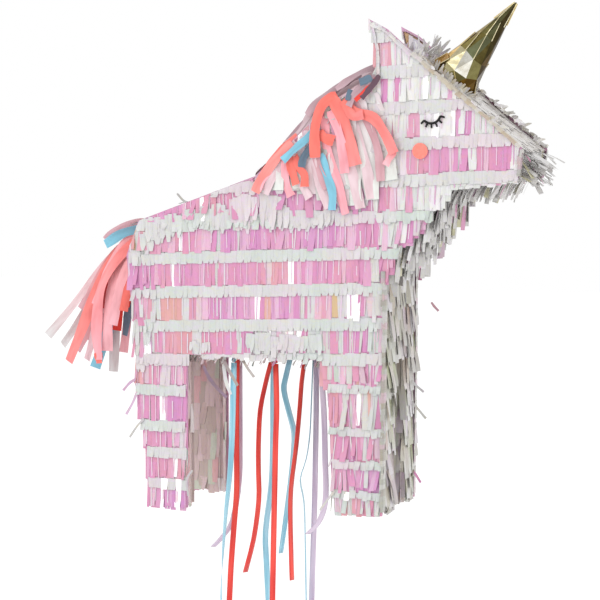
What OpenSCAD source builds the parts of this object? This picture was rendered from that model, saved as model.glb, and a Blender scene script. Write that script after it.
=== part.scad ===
// Pull-string unicorn pinata: a flat-sided card box covered with film fringe, with a trap door in its belly.
// Millimetres. +X is the nose, -Y the near side, +Z up, and the origin is the hanging eyelet on the crest.

/* [Body] */
// Depth of the card box, across both side panels
body_depth = 108; // [100:1:120]
// Thickness of the side panel card
panel_thick = 3; // [2:0.5:4]
// Thickness of the strips that join the side panels
strip_thick = 2; // [1.5:0.5:2.5]
// Height of the hanging eyelet above the belly's underside
belly_drop = 228; // [226:1:232]
// Thickness that the film fringe stands out from the card
fringe_thick = 3; // [2:0.5:3.5]

/* [Legs] */
// Height of the hanging eyelet above the rear feet
rear_foot_drop = 395; // [370:1:410]
// Height of the hanging eyelet above the front feet
front_foot_drop = 387; // [375:1:400]
// Depth of each rear leg, from the side panel inwards
rear_leg_depth = 15; // [12:1:16]
// Depth of each front leg, from the side panel inwards
front_leg_depth = 40; // [30:1:42]

/* [Horn] */
// Distance of the horn's foot in front of the poll, along the forehead
horn_from_poll = 37; // [32:1:60]
// Length of the horn cone
horn_len = 96; // [70:1:110]
// Outside radius of the horn at its foot
horn_base_r = 26; // [20:1:28]
// Thickness of the horn's card
horn_wall = 1.2; // [0.8:0.1:2]
// Height of the collar that holds the horn to the forehead
horn_collar_h = 4; // [3:0.5:6]

/* [Hanging eyelet] */
// Radius of the hole that the hanging cord goes through
eyelet_bore_r = 4; // [3:0.5:4]
// Outside radius of the eyelet's flange
eyelet_flange_r = 8; // [7:0.5:8.5]
// Length of the eyelet's hole
eyelet_len = 6.2; // [5.2:0.5:8.2]

/* [Trap door] */
// Distance of the hinge line behind the hanging eyelet
hinge_back = 108; // [106:1:112]
// Length of the trap door
door_len = 126; // [120:1:126]
// Width of the trap door
door_w = 84; // [80:1:88]
// Gap around the trap door
door_gap = 0.6; // [0.4:0.1:1]

/* [Ribbons] */
// Width of a pull ribbon
ribbon_w = 6.35; // [4:0.05:6.5]
// Thickness of a pull ribbon
ribbon_t = 1.2; // [0.8:0.1:1.4]
// Radius of the knot that ties a ribbon to the door
knot_r = 2.7; // [2:0.1:2.7]

/* [Mane and tail] */
// Thickness of the mane on each side of the neck
mane_thick = 4; // [3:0.5:5]
// Width of the tail, across the body
tail_w = 34; // [24:1:40]

/* [Stickers] */
// Radius of the cheek disc
cheek_r = 8; // [6:0.5:10]
// Radius of the closed eyelid's curve
lid_r = 10; // [9:0.5:12]
// Thickness of the felt stickers
sticker_thick = 0.4; // [0.3:0.1:0.6]

/* [Hidden] */

$fn = 64;
cut = 1;              // how far a cutting shape runs past what it cuts
half = body_depth / 2;
inner = half - panel_thick;
belly_z = -belly_drop;
hinge_x = -hinge_back;
door_front_x = hinge_x + door_len;
hinge_gap = 0.3;
fringe_gap = 5;       // bare card behind the hinge line, so that the door's own fringe can swing
tab_w = 14;           // the catch tab's width, its length on the door, and its reach past the door
tab_back = 8;
tab_reach = 8;

// The box's side outline, clockwise, as [x, z]: rump, back, crest, forehead, nose, jaw, throat, chest
torso = [
    [-187, belly_z], [-195, -157], [-198, -126], [-184, -90], [-48, -42], [40, 35], [57, 43],
    [86, 63],
    [122, 83], [234, -12], [231, -38], [162, -47], [142, -74], [100, -122], [92, -136], [92, belly_z]
];
rump = 0;
back = 3;
withers = 4;
ear_root = 7;
poll = 8;
nose = 9;
chin = 10;
jaw_end = 11;
chest = 14;
chest_foot = 15;
closing = 16;

// An ear, over the poll, and the two kinds of leg, each clockwise
ear = [[86, 63], [86, 88], [80, 115], [95, 107], [122, 83]];
rear_leg = [
    [-131, belly_z], [-131.5, -rear_foot_drop], [-173, -rear_foot_drop], [-178.5, -315], [-189, -265],
    [-187, belly_z]
];
front_leg = [
    [92, belly_z], [90.5, -front_foot_drop], [45, -front_foot_drop], [40, -366], [37.5, -298], [34.5, -250],
    [33, belly_z]
];
rear_leg_in = half - rear_leg_depth;
front_leg_in = half - front_leg_depth;

// The horn stands square on the forehead, and the eyelet square on the crest
forehead_run = torso[nose] - torso[poll];
crest_run = torso[withers + 1] - torso[withers];
horn_at = torso[poll] + horn_from_poll * unit(forehead_run);
horn_lean = -atan2(forehead_run[1], forehead_run[0]);
crest_lean = -atan2(crest_run[1], crest_run[0]);

// The middle of the eyelid's curve, and the middle of the cheek, on each side of the head
eye_at = [144, 24];
cheek_at = [132.5, -13.5];

// The mane's outline on the side of the neck, and the tail's outline from its root on the rump
mane_outline = [
    [-58, -52], [-50, -38], [42, 41], [60, 48], [88, 66], [92, 30], [112, -12], [104, -32], [68, -32],
    [52, -42], [44, -74], [30, -74], [14, -52], [-20, -50], [-48, -60]
];
tail_outline = [
    [-193.8, -115.2], [-185.4, -93.6], [-196, -92], [-215, -96], [-236, -99], [-256, -112], [-268, -134],
    [-330, -214], [-316, -234], [-264, -264], [-240, -264], [-232, -244], [-214, -180], [-206, -130]
];

// Knots hang below the door's fringe, and each ribbon starts just under its knot
knot_z = -237;
neck_r = 1;

// The ribbons' routes. All hang from the door, each at its own y:
// [y, turn at the top, turn at the end, the [x, z] points]
blue_left = [-34, 0, 150, [[-83, -240], [-84, -275], [-86, -330], [-89, -370], [-93, -406], [-97, -450],
    [-98, -471], [-99, -498], [-100, -540]]];
red_centre = [-27.5, 0, 8, [[-37, -240], [-36, -286], [-37, -320], [-38, -359], [-39, -400], [-40, -450],
    [-41, -494], [-42, -545]]];
red_front = [-20.5, 62, 60, [[-7, -240], [-10, -262], [-12, -285], [-16, -329], [-22, -376], [-23, -412],
    [-22, -445], [-21, -476]]];
red_middle = [-13.5, 58, 52, [[-48, -240], [-54, -262], [-61, -293], [-63, -330], [-63, -363], [-63, -393],
    [-69, -436], [-79, -474]]];
lilac_curl = [-7, 0, 20, [[6, -240], [9, -270], [11, -301], [12, -345], [13, -377], [11, -397], [4, -414],
    [-8, -427]]];
red_back = [0, 0, 20, [[-94, -240], [-95, -290], [-95, -339], [-95, -385], [-98, -422], [-102, -470],
    [-104, -506], [-106, -540]]];
lilac_back = [7, 0, 30, [[-94, -240], [-94, -290], [-94, -335], [-95, -376], [-103, -422], [-116, -442],
    [-127, -454]]];
blue_middle = [13.5, 0, 60, [[-37, -240], [-42, -260], [-44, -274], [-38, -298], [-32, -321], [-33, -345],
    [-36, -373], [-42, -417], [-48, -456]]];
blue_centre = [20.5, 0, 30, [[-59, -240], [-60, -285], [-60, -331], [-62, -381], [-69, -434], [-68, -470],
    [-66, -508], [-65, -530]]];
blue_edge = [27.5, 100, 100, [[-15, -240], [-17, -290], [-19, -322], [-23, -351], [-30, -375], [-26, -400],
    [-24, -450], [-23, -505], [-23, -545]]];
lilac_front = [34, 0, 10, [[-14, -240], [-14, -300], [-15, -368], [-16, -410], [-17, -442], [-19, -506],
    [-20, -555]]];
ribbons = [
    blue_left, red_centre, red_front, red_middle, lilac_curl, red_back, lilac_back, blue_middle,
    blue_centre, blue_edge, lilac_front
];

card = [0.72, 0.58, 0.42];
pink_film = [0.93, 0.66, 0.84];
pale_film = [0.87, 0.9, 0.88];
coral = [1, 0.5, 0.42];
gold = [0.72, 0.58, 0.24];
ribbon_red = [0.9, 0.24, 0.19];
ribbon_blue = [0.5, 0.76, 0.86];
ribbon_lilac = [0.8, 0.74, 0.82];

// Unit vector, and the vector a quarter turn to its left
function unit(v) = v / norm(v);
function left(v) = [-v[1], v[0]];

// The corner i of a clockwise outline, moved out by d with mitred corners
function moved(pts, i, d) =
    let (n = len(pts), here = pts[i % n], before = pts[(i + n - 1) % n], after = pts[(i + 1) % n])
    let (a = left(unit(here - before)), b = left(unit(after - here)))
    here + d * (a + b) / (1 + a * b);

// A whole outline moved out by d
function grown(pts, d) = [for (i = [0:len(pts) - 1]) moved(pts, i, d)];

// A shape of the side outline, extruded from y0 to y1
module slab(y0, y1) {
    translate([0, y1, 0])
        rotate([90, 0, 0])
            linear_extrude(y1 - y0)
                children();
}

// The band along an outline from corner i to corner j, between the offsets d0 and d1
module band(pts, i, j, d0, d1) {
    polygon(concat(
        [for (k = [i:j]) moved(pts, k, max(d0, d1))],
        [for (k = [j:-1:i]) moved(pts, k, min(d0, d1))]
    ));
}

// A strip of card between the side panels, just inside the outline
module card_strip(i, j) {
    color(card)
        slab(-inner, inner)
            band(torso, i, j, -strip_thick, 0);
}

// Fringe on the outside of a strip
module edge_fringe(i, j) {
    slab(-half, half)
        band(torso, i, j, 0, fringe_thick);
}

module side_outline(grow) {
    polygon(grown(torso, grow));
    polygon(grown(ear, grow));
    polygon(grown(rear_leg, grow));
    polygon(grown(front_leg, grow));
}

// Puts its children on the forehead, with +Z along the horn
module on_forehead() {
    translate([horn_at[0], 0, horn_at[1]])
        rotate([0, horn_lean, 0])
            children();
}

// Puts its children at the hanging eyelet, with +Z out of the crest
module at_eyelet() {
    rotate([0, crest_lean, 0])
        children();
}

module near_side_panel() {
    color(card)
        slab(-half, -inner)
            side_outline(0);
}

module far_side_panel() {
    color(card)
        slab(inner, half)
            side_outline(0);
}

module rump_strip() { card_strip(rump, back); }
module spine_strip() { card_strip(back, withers); }
module forehead_strip() { card_strip(poll, nose); }
module nose_strip() { card_strip(nose, chin); }
module jaw_strip() { card_strip(chin, jaw_end); }
module throat_strip() { card_strip(jaw_end, chest); }
module chest_strip() { card_strip(chest, chest_foot); }

module crest_strip() {
    color(card)
        difference() {
            card_strip(withers, poll);
            at_eyelet()
                translate([0, 0, -strip_thick - cut])
                    cylinder(h = strip_thick + 2 * cut, r = eyelet_bore_r + 1.1);
        }
}

// The opening that the trap door closes, from z0 to z1
module door_opening(z0, z1, grow) {
    translate([hinge_x - hinge_gap - grow, -door_w / 2 - door_gap, z0])
        cube([door_len + hinge_gap + door_gap + grow, door_w + 2 * door_gap, z1 - z0]);
}

module belly_floor() {
    color(card)
        difference() {
            slab(-inner, inner)
                band(torso, chest_foot, closing, -strip_thick, 0);
            door_opening(belly_z - cut, belly_z + strip_thick + cut, 0);
        }
}

module trap_door() {
    color(card)
        translate([hinge_x, -door_w / 2, belly_z])
            cube([door_len, door_w, strip_thick]);
}

// Tape along the hinge line, on the floor's side of it
module door_hinge_tape() {
    tape_t = 0.3;
    tape_w = 4.2;
    color([0.85, 0.85, 0.8])
        translate([hinge_x - hinge_gap - tape_w, -door_w / 2, belly_z - tape_t])
            cube([tape_w, door_w, tape_t]);
}

// The tab that holds the door shut: glued under the door's front edge, it laps under the floor
module door_catch_tab() {
    tab_t = 1.2;
    tab_play = 0.3;
    color("white") {
        translate([door_front_x - tab_back, -tab_w / 2, belly_z - tab_t])
            cube([tab_back, tab_w, tab_t]);
        translate([door_front_x - cut / 2, -tab_w / 2, belly_z - tab_t])
            cube([tab_reach + cut / 2, tab_w, tab_t - tab_play]);
    }
}

// One knot for each ribbon, tied through the door
module ribbon_knots() {
    color("lightgrey")
        for (r = ribbons)
            translate([r[3][0][0], r[0], knot_z]) {
                sphere(r = knot_r, $fn = 32);
                cylinder(h = belly_z - knot_z, r = neck_r, $fn = 24);
            }
}

// A folded card sleeve: the leg's inner wall with its front and rear walls
module leg_liner(leg, depth_in, side) {
    last = len(leg) - 1;
    color(card)
        mirror([0, side > 0 ? 0 : 1, 0]) {
            slab(depth_in, depth_in + strip_thick)
                polygon(leg);
            slab(depth_in + strip_thick, inner) {
                band(leg, 0, 1, -strip_thick, 0);
                band(leg, 2, last, -strip_thick, 0);
            }
        }
}

// The card that closes the bottom of a leg
module leg_foot(leg, depth_in, side) {
    color(card)
        mirror([0, side > 0 ? 0 : 1, 0])
            slab(depth_in + strip_thick, inner)
                band(leg, 1, 2, -strip_thick, 0);
}

// Fringe on the front, rear and inner faces of a leg
module leg_fringe(leg, depth_in, side) {
    last = len(leg) - 1;
    reach = 500;
    color(pale_film)
        mirror([0, side > 0 ? 0 : 1, 0])
            intersection() {
                union() {
                    slab(depth_in, half) {
                        band(leg, 0, 1, 0, fringe_thick);
                        band(leg, 2, last, 0, fringe_thick);
                    }
                    slab(depth_in - fringe_thick, depth_in)
                        polygon(grown(leg, fringe_thick));
                }
                translate([-reach, -reach, leg[1][1] - reach])
                    cube([2 * reach, 2 * reach, belly_z - fringe_thick - leg[1][1] + reach]);
                translate([-reach, -reach, leg[1][1]])
                    cube([2 * reach, 2 * reach, reach]);
            }
}

module near_rear_leg_liner() { leg_liner(rear_leg, rear_leg_in, -1); }
module far_rear_leg_liner() { leg_liner(rear_leg, rear_leg_in, 1); }
module near_front_leg_liner() { leg_liner(front_leg, front_leg_in, -1); }
module far_front_leg_liner() { leg_liner(front_leg, front_leg_in, 1); }
module near_rear_foot() { leg_foot(rear_leg, rear_leg_in, -1); }
module far_rear_foot() { leg_foot(rear_leg, rear_leg_in, 1); }
module near_front_foot() { leg_foot(front_leg, front_leg_in, -1); }
module far_front_foot() { leg_foot(front_leg, front_leg_in, 1); }
module near_rear_leg_fringe() { leg_fringe(rear_leg, rear_leg_in, -1); }
module far_rear_leg_fringe() { leg_fringe(rear_leg, rear_leg_in, 1); }
module near_front_leg_fringe() { leg_fringe(front_leg, front_leg_in, -1); }
module far_front_leg_fringe() { leg_fringe(front_leg, front_leg_in, 1); }

// A hollow cone of foil-covered card, standing on its collar
module horn_cone() {
    tip_r = 1.5;
    color(gold)
        on_forehead()
            translate([0, 0, horn_collar_h])
                difference() {
                    cylinder(h = horn_len, r1 = horn_base_r, r2 = tip_r);
                    translate([0, 0, -0.01])
                        cylinder(h = horn_len - 6, r1 = horn_base_r - horn_wall, r2 = tip_r);
                }
}

module horn_collar() {
    color(gold)
        on_forehead()
            difference() {
                cylinder(h = horn_collar_h, r = horn_base_r + 1);
                translate([0, 0, -cut])
                    cylinder(h = horn_collar_h + 2 * cut, r = horn_base_r - 2);
            }
}

module hanging_eyelet() {
    flange_t = 1.2;
    color("white")
        at_eyelet()
            difference() {
                union() {
                    cylinder(h = flange_t, r = eyelet_flange_r);
                    translate([0, 0, flange_t - eyelet_len])
                        cylinder(h = eyelet_len, r = eyelet_bore_r + 1);
                }
                translate([0, 0, flange_t - eyelet_len - cut])
                    cylinder(h = eyelet_len + 2 * cut, r = eyelet_bore_r);
            }
}

// The washer that the eyelet is set against, inside the crest
module eyelet_washer() {
    washer_t = 1.2;
    color("white")
        at_eyelet()
            translate([0, 0, -strip_thick - washer_t])
                difference() {
                    cylinder(h = washer_t, r = eyelet_flange_r);
                    translate([0, 0, -cut])
                        cylinder(h = washer_t + 2 * cut, r = eyelet_bore_r + 1.1);
                }
}

module tail() {
    color(coral)
        slab(-tail_w / 2, tail_w / 2)
            polygon(tail_outline);
}

module mane_side(y0, y1) {
    color(coral)
        slab(y0, y1)
            polygon(mane_outline);
}

module mane_near() { mane_side(-half - fringe_thick - mane_thick, -half - fringe_thick); }
module mane_far() { mane_side(half + fringe_thick, half + fringe_thick + mane_thick); }

// The roots of the mane, glued along the crest, open around the eyelet
module mane_crest() {
    color(coral)
        difference() {
            union() {
                edge_fringe(withers, ear_root);
                slab(-inner, inner)
                    band(torso, ear_root, poll, 0, fringe_thick);
            }
            at_eyelet()
                translate([0, 0, -cut])
                    cylinder(h = fringe_thick + 2 * cut, r = eyelet_flange_r + 1);
        }
}

// A closed eye: the curve of the lid, tipped up towards the nose, with lashes fanning down from it
module eyelash(y0) {
    lid_w = 2.4;
    lid_half_angle = 63;
    lid_tip = 14;
    lash_len = 4.8;
    lash_w = 2;
    color("black")
        translate([eye_at[0], 0, eye_at[1]])
            slab(y0, y0 + sticker_thick)
                rotate(lid_tip) {
                    difference() {
                        circle(r = lid_r + lid_w / 2);
                        circle(r = lid_r - lid_w / 2);
                        translate([-2 * lid_r, -cos(lid_half_angle) * lid_r])
                            square(4 * lid_r);
                    }
                    for (a = [-60:24:60])
                        rotate(a - 90)
                            translate([lid_r, -lash_w / 2])
                                square([lash_len, lash_w]);
                }
}

module cheek(y0) {
    color(coral)
        translate([cheek_at[0], 0, cheek_at[1]])
            slab(y0, y0 + sticker_thick)
                circle(r = cheek_r);
}

module eyelash_near() { eyelash(-half - fringe_thick - sticker_thick); }
module eyelash_far() { eyelash(half + fringe_thick); }
module cheek_near() { cheek(-half - fringe_thick - sticker_thick); }
module cheek_far() { cheek(half + fringe_thick); }

module near_side_fringe() {
    color(pink_film)
        slab(-half - fringe_thick, -half)
            side_outline(fringe_thick);
}

module far_side_fringe() {
    color(pink_film)
        slab(half, half + fringe_thick)
            side_outline(fringe_thick);
}

// Fringe over the rump and spine, open where the tail is glued to the rump
module back_fringe() {
    color(pale_film)
        difference() {
            edge_fringe(rump, withers);
            slab(-tail_w / 2, tail_w / 2)
                polygon(tail_outline);
        }
}

module forehead_fringe() {
    color(pale_film)
        difference() {
            edge_fringe(poll, nose);
            on_forehead()
                translate([0, 0, -cut])
                    cylinder(h = fringe_thick + 2 * cut, r = horn_base_r + 1.5);
        }
}

module muzzle_fringe() { color(pale_film) edge_fringe(nose, jaw_end); }
module throat_fringe() { color(pale_film) edge_fringe(jaw_end, chest); }
module chest_fringe() { color(pale_film) edge_fringe(chest, chest_foot); }

// Fringe under the belly, clear of the legs, the door, its hinge tape and its catch tab
module belly_fringe() {
    low = belly_z - fringe_thick;
    reach = tab_reach + 1;
    color(pale_film)
        difference() {
            translate([-187, -half, low])
                cube([279, body_depth, fringe_thick]);
            door_opening(low - cut, belly_z + cut, fringe_gap);
            translate([door_front_x, -tab_w / 2 - 1, low - cut])
                cube([reach, tab_w + 2, fringe_thick + 2 * cut]);
            for (s = [0, 1])
                mirror([0, s, 0]) {
                    slab(rear_leg_in, half + cut)
                        polygon([[-131, low - cut], [-190, low - cut], [-190, belly_z + cut],
                            [-131, belly_z + cut]]);
                    slab(front_leg_in, half + cut)
                        polygon([[94, low - cut], [33, low - cut], [33, belly_z + cut],
                            [94, belly_z + cut]]);
                }
        }
}

module door_fringe() {
    low = belly_z - fringe_thick;
    color(pale_film)
        difference() {
            translate([hinge_x + hinge_gap, -door_w / 2, low])
                cube([door_len - hinge_gap, door_w, fringe_thick]);
            translate([door_front_x - tab_back - 1, -tab_w / 2 - 1, low - cut])
                cube([tab_back + 1 + cut, tab_w + 2, fringe_thick + 2 * cut]);
            for (r = ribbons)
                translate([r[3][0][0], r[0], low - cut])
                    cylinder(h = fringe_thick + 2 * cut, r = neck_r + 0.5, $fn = 24);
        }
}

// A flat ribbon: eight-sided level rings along its route, turning evenly from its top to its end
module ribbon(r) {
    sides = 8;
    route = r[3];
    rings = len(route);
    verts = [
        for (i = [0:rings - 1], k = [0:sides - 1])
            let (turn = r[1] + (r[2] - r[1]) * i / (rings - 1), a = 360 * k / sides)
            let (u = ribbon_w / 2 * cos(a), v = ribbon_t / 2 * sin(a))
            [
                route[i][0] + u * cos(turn) - v * sin(turn),
                r[0] + u * sin(turn) + v * cos(turn),
                route[i][1]
            ]
    ];
    walls = [
        for (i = [0:rings - 2], k = [0:sides - 1])
            let (a = i * sides + k, b = i * sides + (k + 1) % sides)
            each [[a, b, b + sides], [a, b + sides, a + sides]]
    ];
    top = [for (k = [sides - 1:-1:0]) k];
    end = [for (k = [0:sides - 1]) (rings - 1) * sides + k];
    polyhedron(points = verts, faces = concat([top], walls, [end]), convexity = 8);
}

module ribbon_blue_left() { color(ribbon_blue) ribbon(blue_left); }
module ribbon_red_centre() { color(ribbon_red) ribbon(red_centre); }
module ribbon_red_front() { color(ribbon_red) ribbon(red_front); }
module ribbon_red_middle() { color(ribbon_red) ribbon(red_middle); }
module ribbon_lilac_curl() { color(ribbon_lilac) ribbon(lilac_curl); }
module ribbon_red_back() { color(ribbon_red) ribbon(red_back); }
module ribbon_lilac_back() { color(ribbon_lilac) ribbon(lilac_back); }
module ribbon_blue_middle() { color(ribbon_blue) ribbon(blue_middle); }
module ribbon_blue_centre() { color(ribbon_blue) ribbon(blue_centre); }
module ribbon_blue_edge() { color(ribbon_blue) ribbon(blue_edge); }
module ribbon_lilac_front() { color(ribbon_lilac) ribbon(lilac_front); }

near_side_panel();
far_side_panel();
rump_strip();
spine_strip();
crest_strip();
forehead_strip();
nose_strip();
jaw_strip();
throat_strip();
chest_strip();
belly_floor();
trap_door();
door_hinge_tape();
door_catch_tab();
ribbon_knots();
near_rear_leg_liner();
far_rear_leg_liner();
near_front_leg_liner();
far_front_leg_liner();
near_rear_foot();
far_rear_foot();
near_front_foot();
far_front_foot();
horn_cone();
horn_collar();
hanging_eyelet();
eyelet_washer();
tail();
mane_near();
mane_far();
mane_crest();
eyelash_near();
eyelash_far();
cheek_near();
cheek_far();
near_side_fringe();
far_side_fringe();
back_fringe();
forehead_fringe();
muzzle_fringe();
throat_fringe();
chest_fringe();
belly_fringe();
door_fringe();
near_rear_leg_fringe();
far_rear_leg_fringe();
near_front_leg_fringe();
far_front_leg_fringe();
ribbon_blue_left();
ribbon_red_centre();
ribbon_red_front();
ribbon_red_middle();
ribbon_lilac_curl();
ribbon_red_back();
ribbon_lilac_back();
ribbon_blue_middle();
ribbon_blue_centre();
ribbon_blue_edge();
ribbon_lilac_front();
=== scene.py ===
"""A hanging card pinata, a unicorn, with film fringe, a tissue mane and tail, and satin pull ribbons"""

import math
import random

import bpy
from mathutils import Matrix, Vector, noise
from mathutils.bvhtree import BVHTree


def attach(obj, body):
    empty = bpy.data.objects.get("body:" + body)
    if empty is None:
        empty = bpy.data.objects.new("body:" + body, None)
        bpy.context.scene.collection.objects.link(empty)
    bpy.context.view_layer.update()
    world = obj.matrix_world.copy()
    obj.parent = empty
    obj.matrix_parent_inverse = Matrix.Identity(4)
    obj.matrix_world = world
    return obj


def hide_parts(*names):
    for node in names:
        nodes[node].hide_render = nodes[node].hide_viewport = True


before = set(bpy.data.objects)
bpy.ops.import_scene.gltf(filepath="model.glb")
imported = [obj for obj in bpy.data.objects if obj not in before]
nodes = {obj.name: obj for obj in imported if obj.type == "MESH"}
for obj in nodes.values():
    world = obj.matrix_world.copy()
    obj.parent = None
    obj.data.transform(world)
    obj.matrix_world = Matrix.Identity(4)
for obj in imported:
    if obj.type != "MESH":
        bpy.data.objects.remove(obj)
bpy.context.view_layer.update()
scene = bpy.context.scene

MM = 0.001
UP = Vector((0, 0, 1))
X = Vector((1, 0, 0))
Y = Vector((0, 1, 0))


def mm(x, y, z):
    return Vector((x, y, z)) * MM


def linear(r, g, b):
    """A screen colour, 0 to 255, as the linear values that shaders take"""

    def channel(v):
        v /= 255
        return v / 12.92 if v <= 0.04045 else ((v + 0.055) / 1.055) ** 2.4

    return (channel(r), channel(g), channel(b), 1.0)


def mix(a, b, t):
    return a + (b - a) * t


def mix_colours(a, b, t):
    return tuple(mix(x, y, t) for x, y in zip(a, b))


# ---------------------------------------------------------------- camera, light and stage

VIEW_TARGET = mm(-19.8, 0, -173)
VIEW_AZIMUTH = math.radians(21.4)
VIEW_ELEVATION = math.radians(4.6)
VIEW_DISTANCE = 1.825


def make_camera():
    level = math.cos(VIEW_ELEVATION)
    away = Vector((math.sin(VIEW_AZIMUTH) * level, -math.cos(VIEW_AZIMUTH) * level, math.sin(VIEW_ELEVATION)))
    data = bpy.data.cameras.new("camera")
    data.sensor_width = 36
    data.lens = 101.4
    camera = bpy.data.objects.new("camera", data)
    camera.location = VIEW_TARGET + away * VIEW_DISTANCE
    camera.rotation_euler = (-away).to_track_quat("-Z", "Y").to_euler()
    scene.collection.objects.link(camera)
    scene.camera = camera


def softbox(name, place, aim, size, energy, tint=(1, 1, 1)):
    data = bpy.data.lights.new(name, "AREA")
    data.shape = "RECTANGLE"
    data.size, data.size_y = size
    data.energy = energy
    data.color = tint
    light = bpy.data.objects.new(name, data)
    light.location = place
    light.rotation_euler = (aim - place).to_track_quat("-Z", "Y").to_euler()
    scene.collection.objects.link(light)


def make_lights():
    world = bpy.data.worlds.new("studio")
    world.use_nodes = True
    sky = world.node_tree.nodes["Background"]
    sky.inputs["Color"].default_value = (1, 1, 1, 1)
    sky.inputs["Strength"].default_value = 1.0
    scene.world = world
    softbox("key", Vector((-1.3, -2.1, 1.0)), VIEW_TARGET, (1.6, 1.6), 13)
    softbox("front_fill", Vector((2.3, -0.7, 0.2)), VIEW_TARGET, (1.4, 1.8), 10)
    softbox("rim", Vector((-1.6, 1.2, 1.4)), VIEW_TARGET, (0.8, 1.4), 4)
    scene.view_settings.view_transform = "Standard"


def make_stage():
    """A pale floor under the hanging ribbons, as bright as the sky, so that it has no edge"""
    floor_z, reach = -0.62, 6.0
    mesh = bpy.data.meshes.new("floor")
    corners = [(x * reach, y * reach, floor_z) for x, y in ((-1, -1), (1, -1), (1, 1), (-1, 1))]
    mesh.from_pydata(corners, [], [(0, 1, 2, 3)])
    floor = new_object("floor", mesh)
    paint = Paint("floor_paper")
    paint.wire(paint.ramp(paint.noise(40.0, 4.0), (0.3, grey(0.93)), (0.7, grey(0.97))), "Base Color")
    paint.shader.inputs["Roughness"].default_value = 0.9
    paint.shader.inputs["Emission Color"].default_value = (1, 1, 1, 1)
    paint.shader.inputs["Emission Strength"].default_value = 0.12
    mesh.materials.append(paint.material)


def new_object(name, mesh):
    thing = bpy.data.objects.new(name, mesh)
    scene.collection.objects.link(thing)
    return thing


def thicken(piece, thickness, offset):
    """Gives a sheet its thickness"""
    solid = piece.modifiers.new("thickness", "SOLIDIFY")
    solid.thickness = thickness
    solid.offset = offset
    bpy.context.view_layer.objects.active = piece
    bpy.ops.object.modifier_apply(modifier=solid.name)


# ---------------------------------------------------------------- materials

WHITE = (1, 1, 1, 1)


def grey(v):
    return (v, v, v, 1)


class Paint:
    """A Principled material in the making, with helpers that add nodes to it"""

    def __init__(self, name):
        self.material = bpy.data.materials.new(name)
        self.material.use_nodes = True
        self.tree = self.material.node_tree
        self.shader = self.tree.nodes["Principled BSDF"]

    def node(self, kind, vector=None, **sockets):
        node = self.tree.nodes.new(kind)
        for socket, value in sockets.items():
            node.inputs[socket].default_value = value
        if vector is not None:
            self.tree.links.new(vector, node.inputs["Vector"])
        return node

    def noise(self, scale, detail, vector=None, roughness=0.5):
        node = self.node("ShaderNodeTexNoise", vector, Scale=scale, Detail=detail, Roughness=roughness)
        return node.outputs["Fac"]

    def ramp(self, source, *stops):
        node = self.node("ShaderNodeValToRGB")
        elements = node.color_ramp.elements
        while len(elements) < len(stops):
            elements.new(0.5)
        for element, (position, colour) in zip(elements, stops):
            element.position = position
            element.color = colour
        self.tree.links.new(source, node.inputs["Fac"])
        return node.outputs["Color"]

    def multiply(self, amount, *colours):
        """Two colours multiplied, by an amount from 0 to 1"""
        node = self.node("ShaderNodeMix")
        node.data_type = "RGBA"
        node.blend_type = "MULTIPLY"
        node.inputs["Factor"].default_value = amount
        for socket, colour in zip([s for s in node.inputs if s.type == "RGBA"], colours):
            self.tree.links.new(colour, socket)
        return [s for s in node.outputs if s.type == "RGBA"][0]

    def tint(self):
        """The tint that each strip or facet was given"""
        node = self.node("ShaderNodeVertexColor")
        node.layer_name = "tint"
        return node.outputs["Color"]

    def strip_uv(self, across, along):
        """The strips' own coordinates: u across a strip, v down it in centimetres, shifted for each strip"""
        uv = self.node("ShaderNodeUVMap")
        uv.uv_map = "strip"
        return self.node("ShaderNodeMapping", uv.outputs["UV"], Scale=(across, along, 1)).outputs["Vector"]

    def wire(self, source, socket):
        self.tree.links.new(source, self.shader.inputs[socket])

    def bump(self, height, strength, distance):
        node = self.node("ShaderNodeBump", Strength=strength, Distance=distance)
        self.tree.links.new(height, node.inputs["Height"])
        self.wire(node.outputs["Normal"], "Normal")


def film_material(name):
    """Pearly film: each strip's tint, with fine streaks down the strip, darker ones in the film and lighter
    ones painted highlights, and small creases
    """
    paint = Paint(name)
    # streaks down each strip: the darker ones are in the film, the lighter ones, above white, are painted
    # highlights
    streaks_and_highlights = paint.ramp(
        paint.noise(1.0, 3.0, paint.strip_uv(5.0, 0.25), 0.7),
        (0.3, (0.80, 0.74, 0.80, 1)), (0.5, WHITE), (0.68, WHITE), (0.8, (1.35, 1.4, 1.4, 1)),
    )
    warm = paint.ramp(
        paint.noise(55.0, 2.0), (0.35, (1.06, 0.96, 1.08, 1)), (0.5, WHITE), (0.66, (1.06, 1.0, 0.90, 1))
    )
    paint.wire(paint.multiply(0.8, paint.multiply(0.7, paint.tint(), streaks_and_highlights), warm), "Base Color")
    creases = paint.noise(1.0, 4.0, paint.strip_uv(2.5, 1.2))
    paint.bump(creases, 0.35, 0.0006)
    paint.wire(paint.ramp(creases, (0.3, grey(0.22)), (0.7, grey(0.5))), "Roughness")
    paint.shader.inputs["Coat Weight"].default_value = 0.4
    paint.shader.inputs["Coat Roughness"].default_value = 0.18
    return paint.material


def tissue_material():
    """Crepe tissue: each strip's tint, soft long creases, and a fine crepe grain"""
    paint = Paint("tissue_strips")
    shade = paint.ramp(
        paint.noise(1.0, 2.0, paint.strip_uv(1.6, 0.35)),
        (0.3, (0.86, 0.80, 0.80, 1)), (0.52, WHITE), (0.72, (1.08, 1.12, 1.12, 1)),
    )
    paint.wire(paint.multiply(0.9, paint.tint(), shade), "Base Color")
    paint.bump(paint.noise(1.0, 3.0, paint.strip_uv(3.0, 14.0)), 0.4, 0.0005)
    paint.shader.inputs["Roughness"].default_value = 0.75
    paint.shader.inputs["Sheen Weight"].default_value = 0.25
    return paint.material


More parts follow.
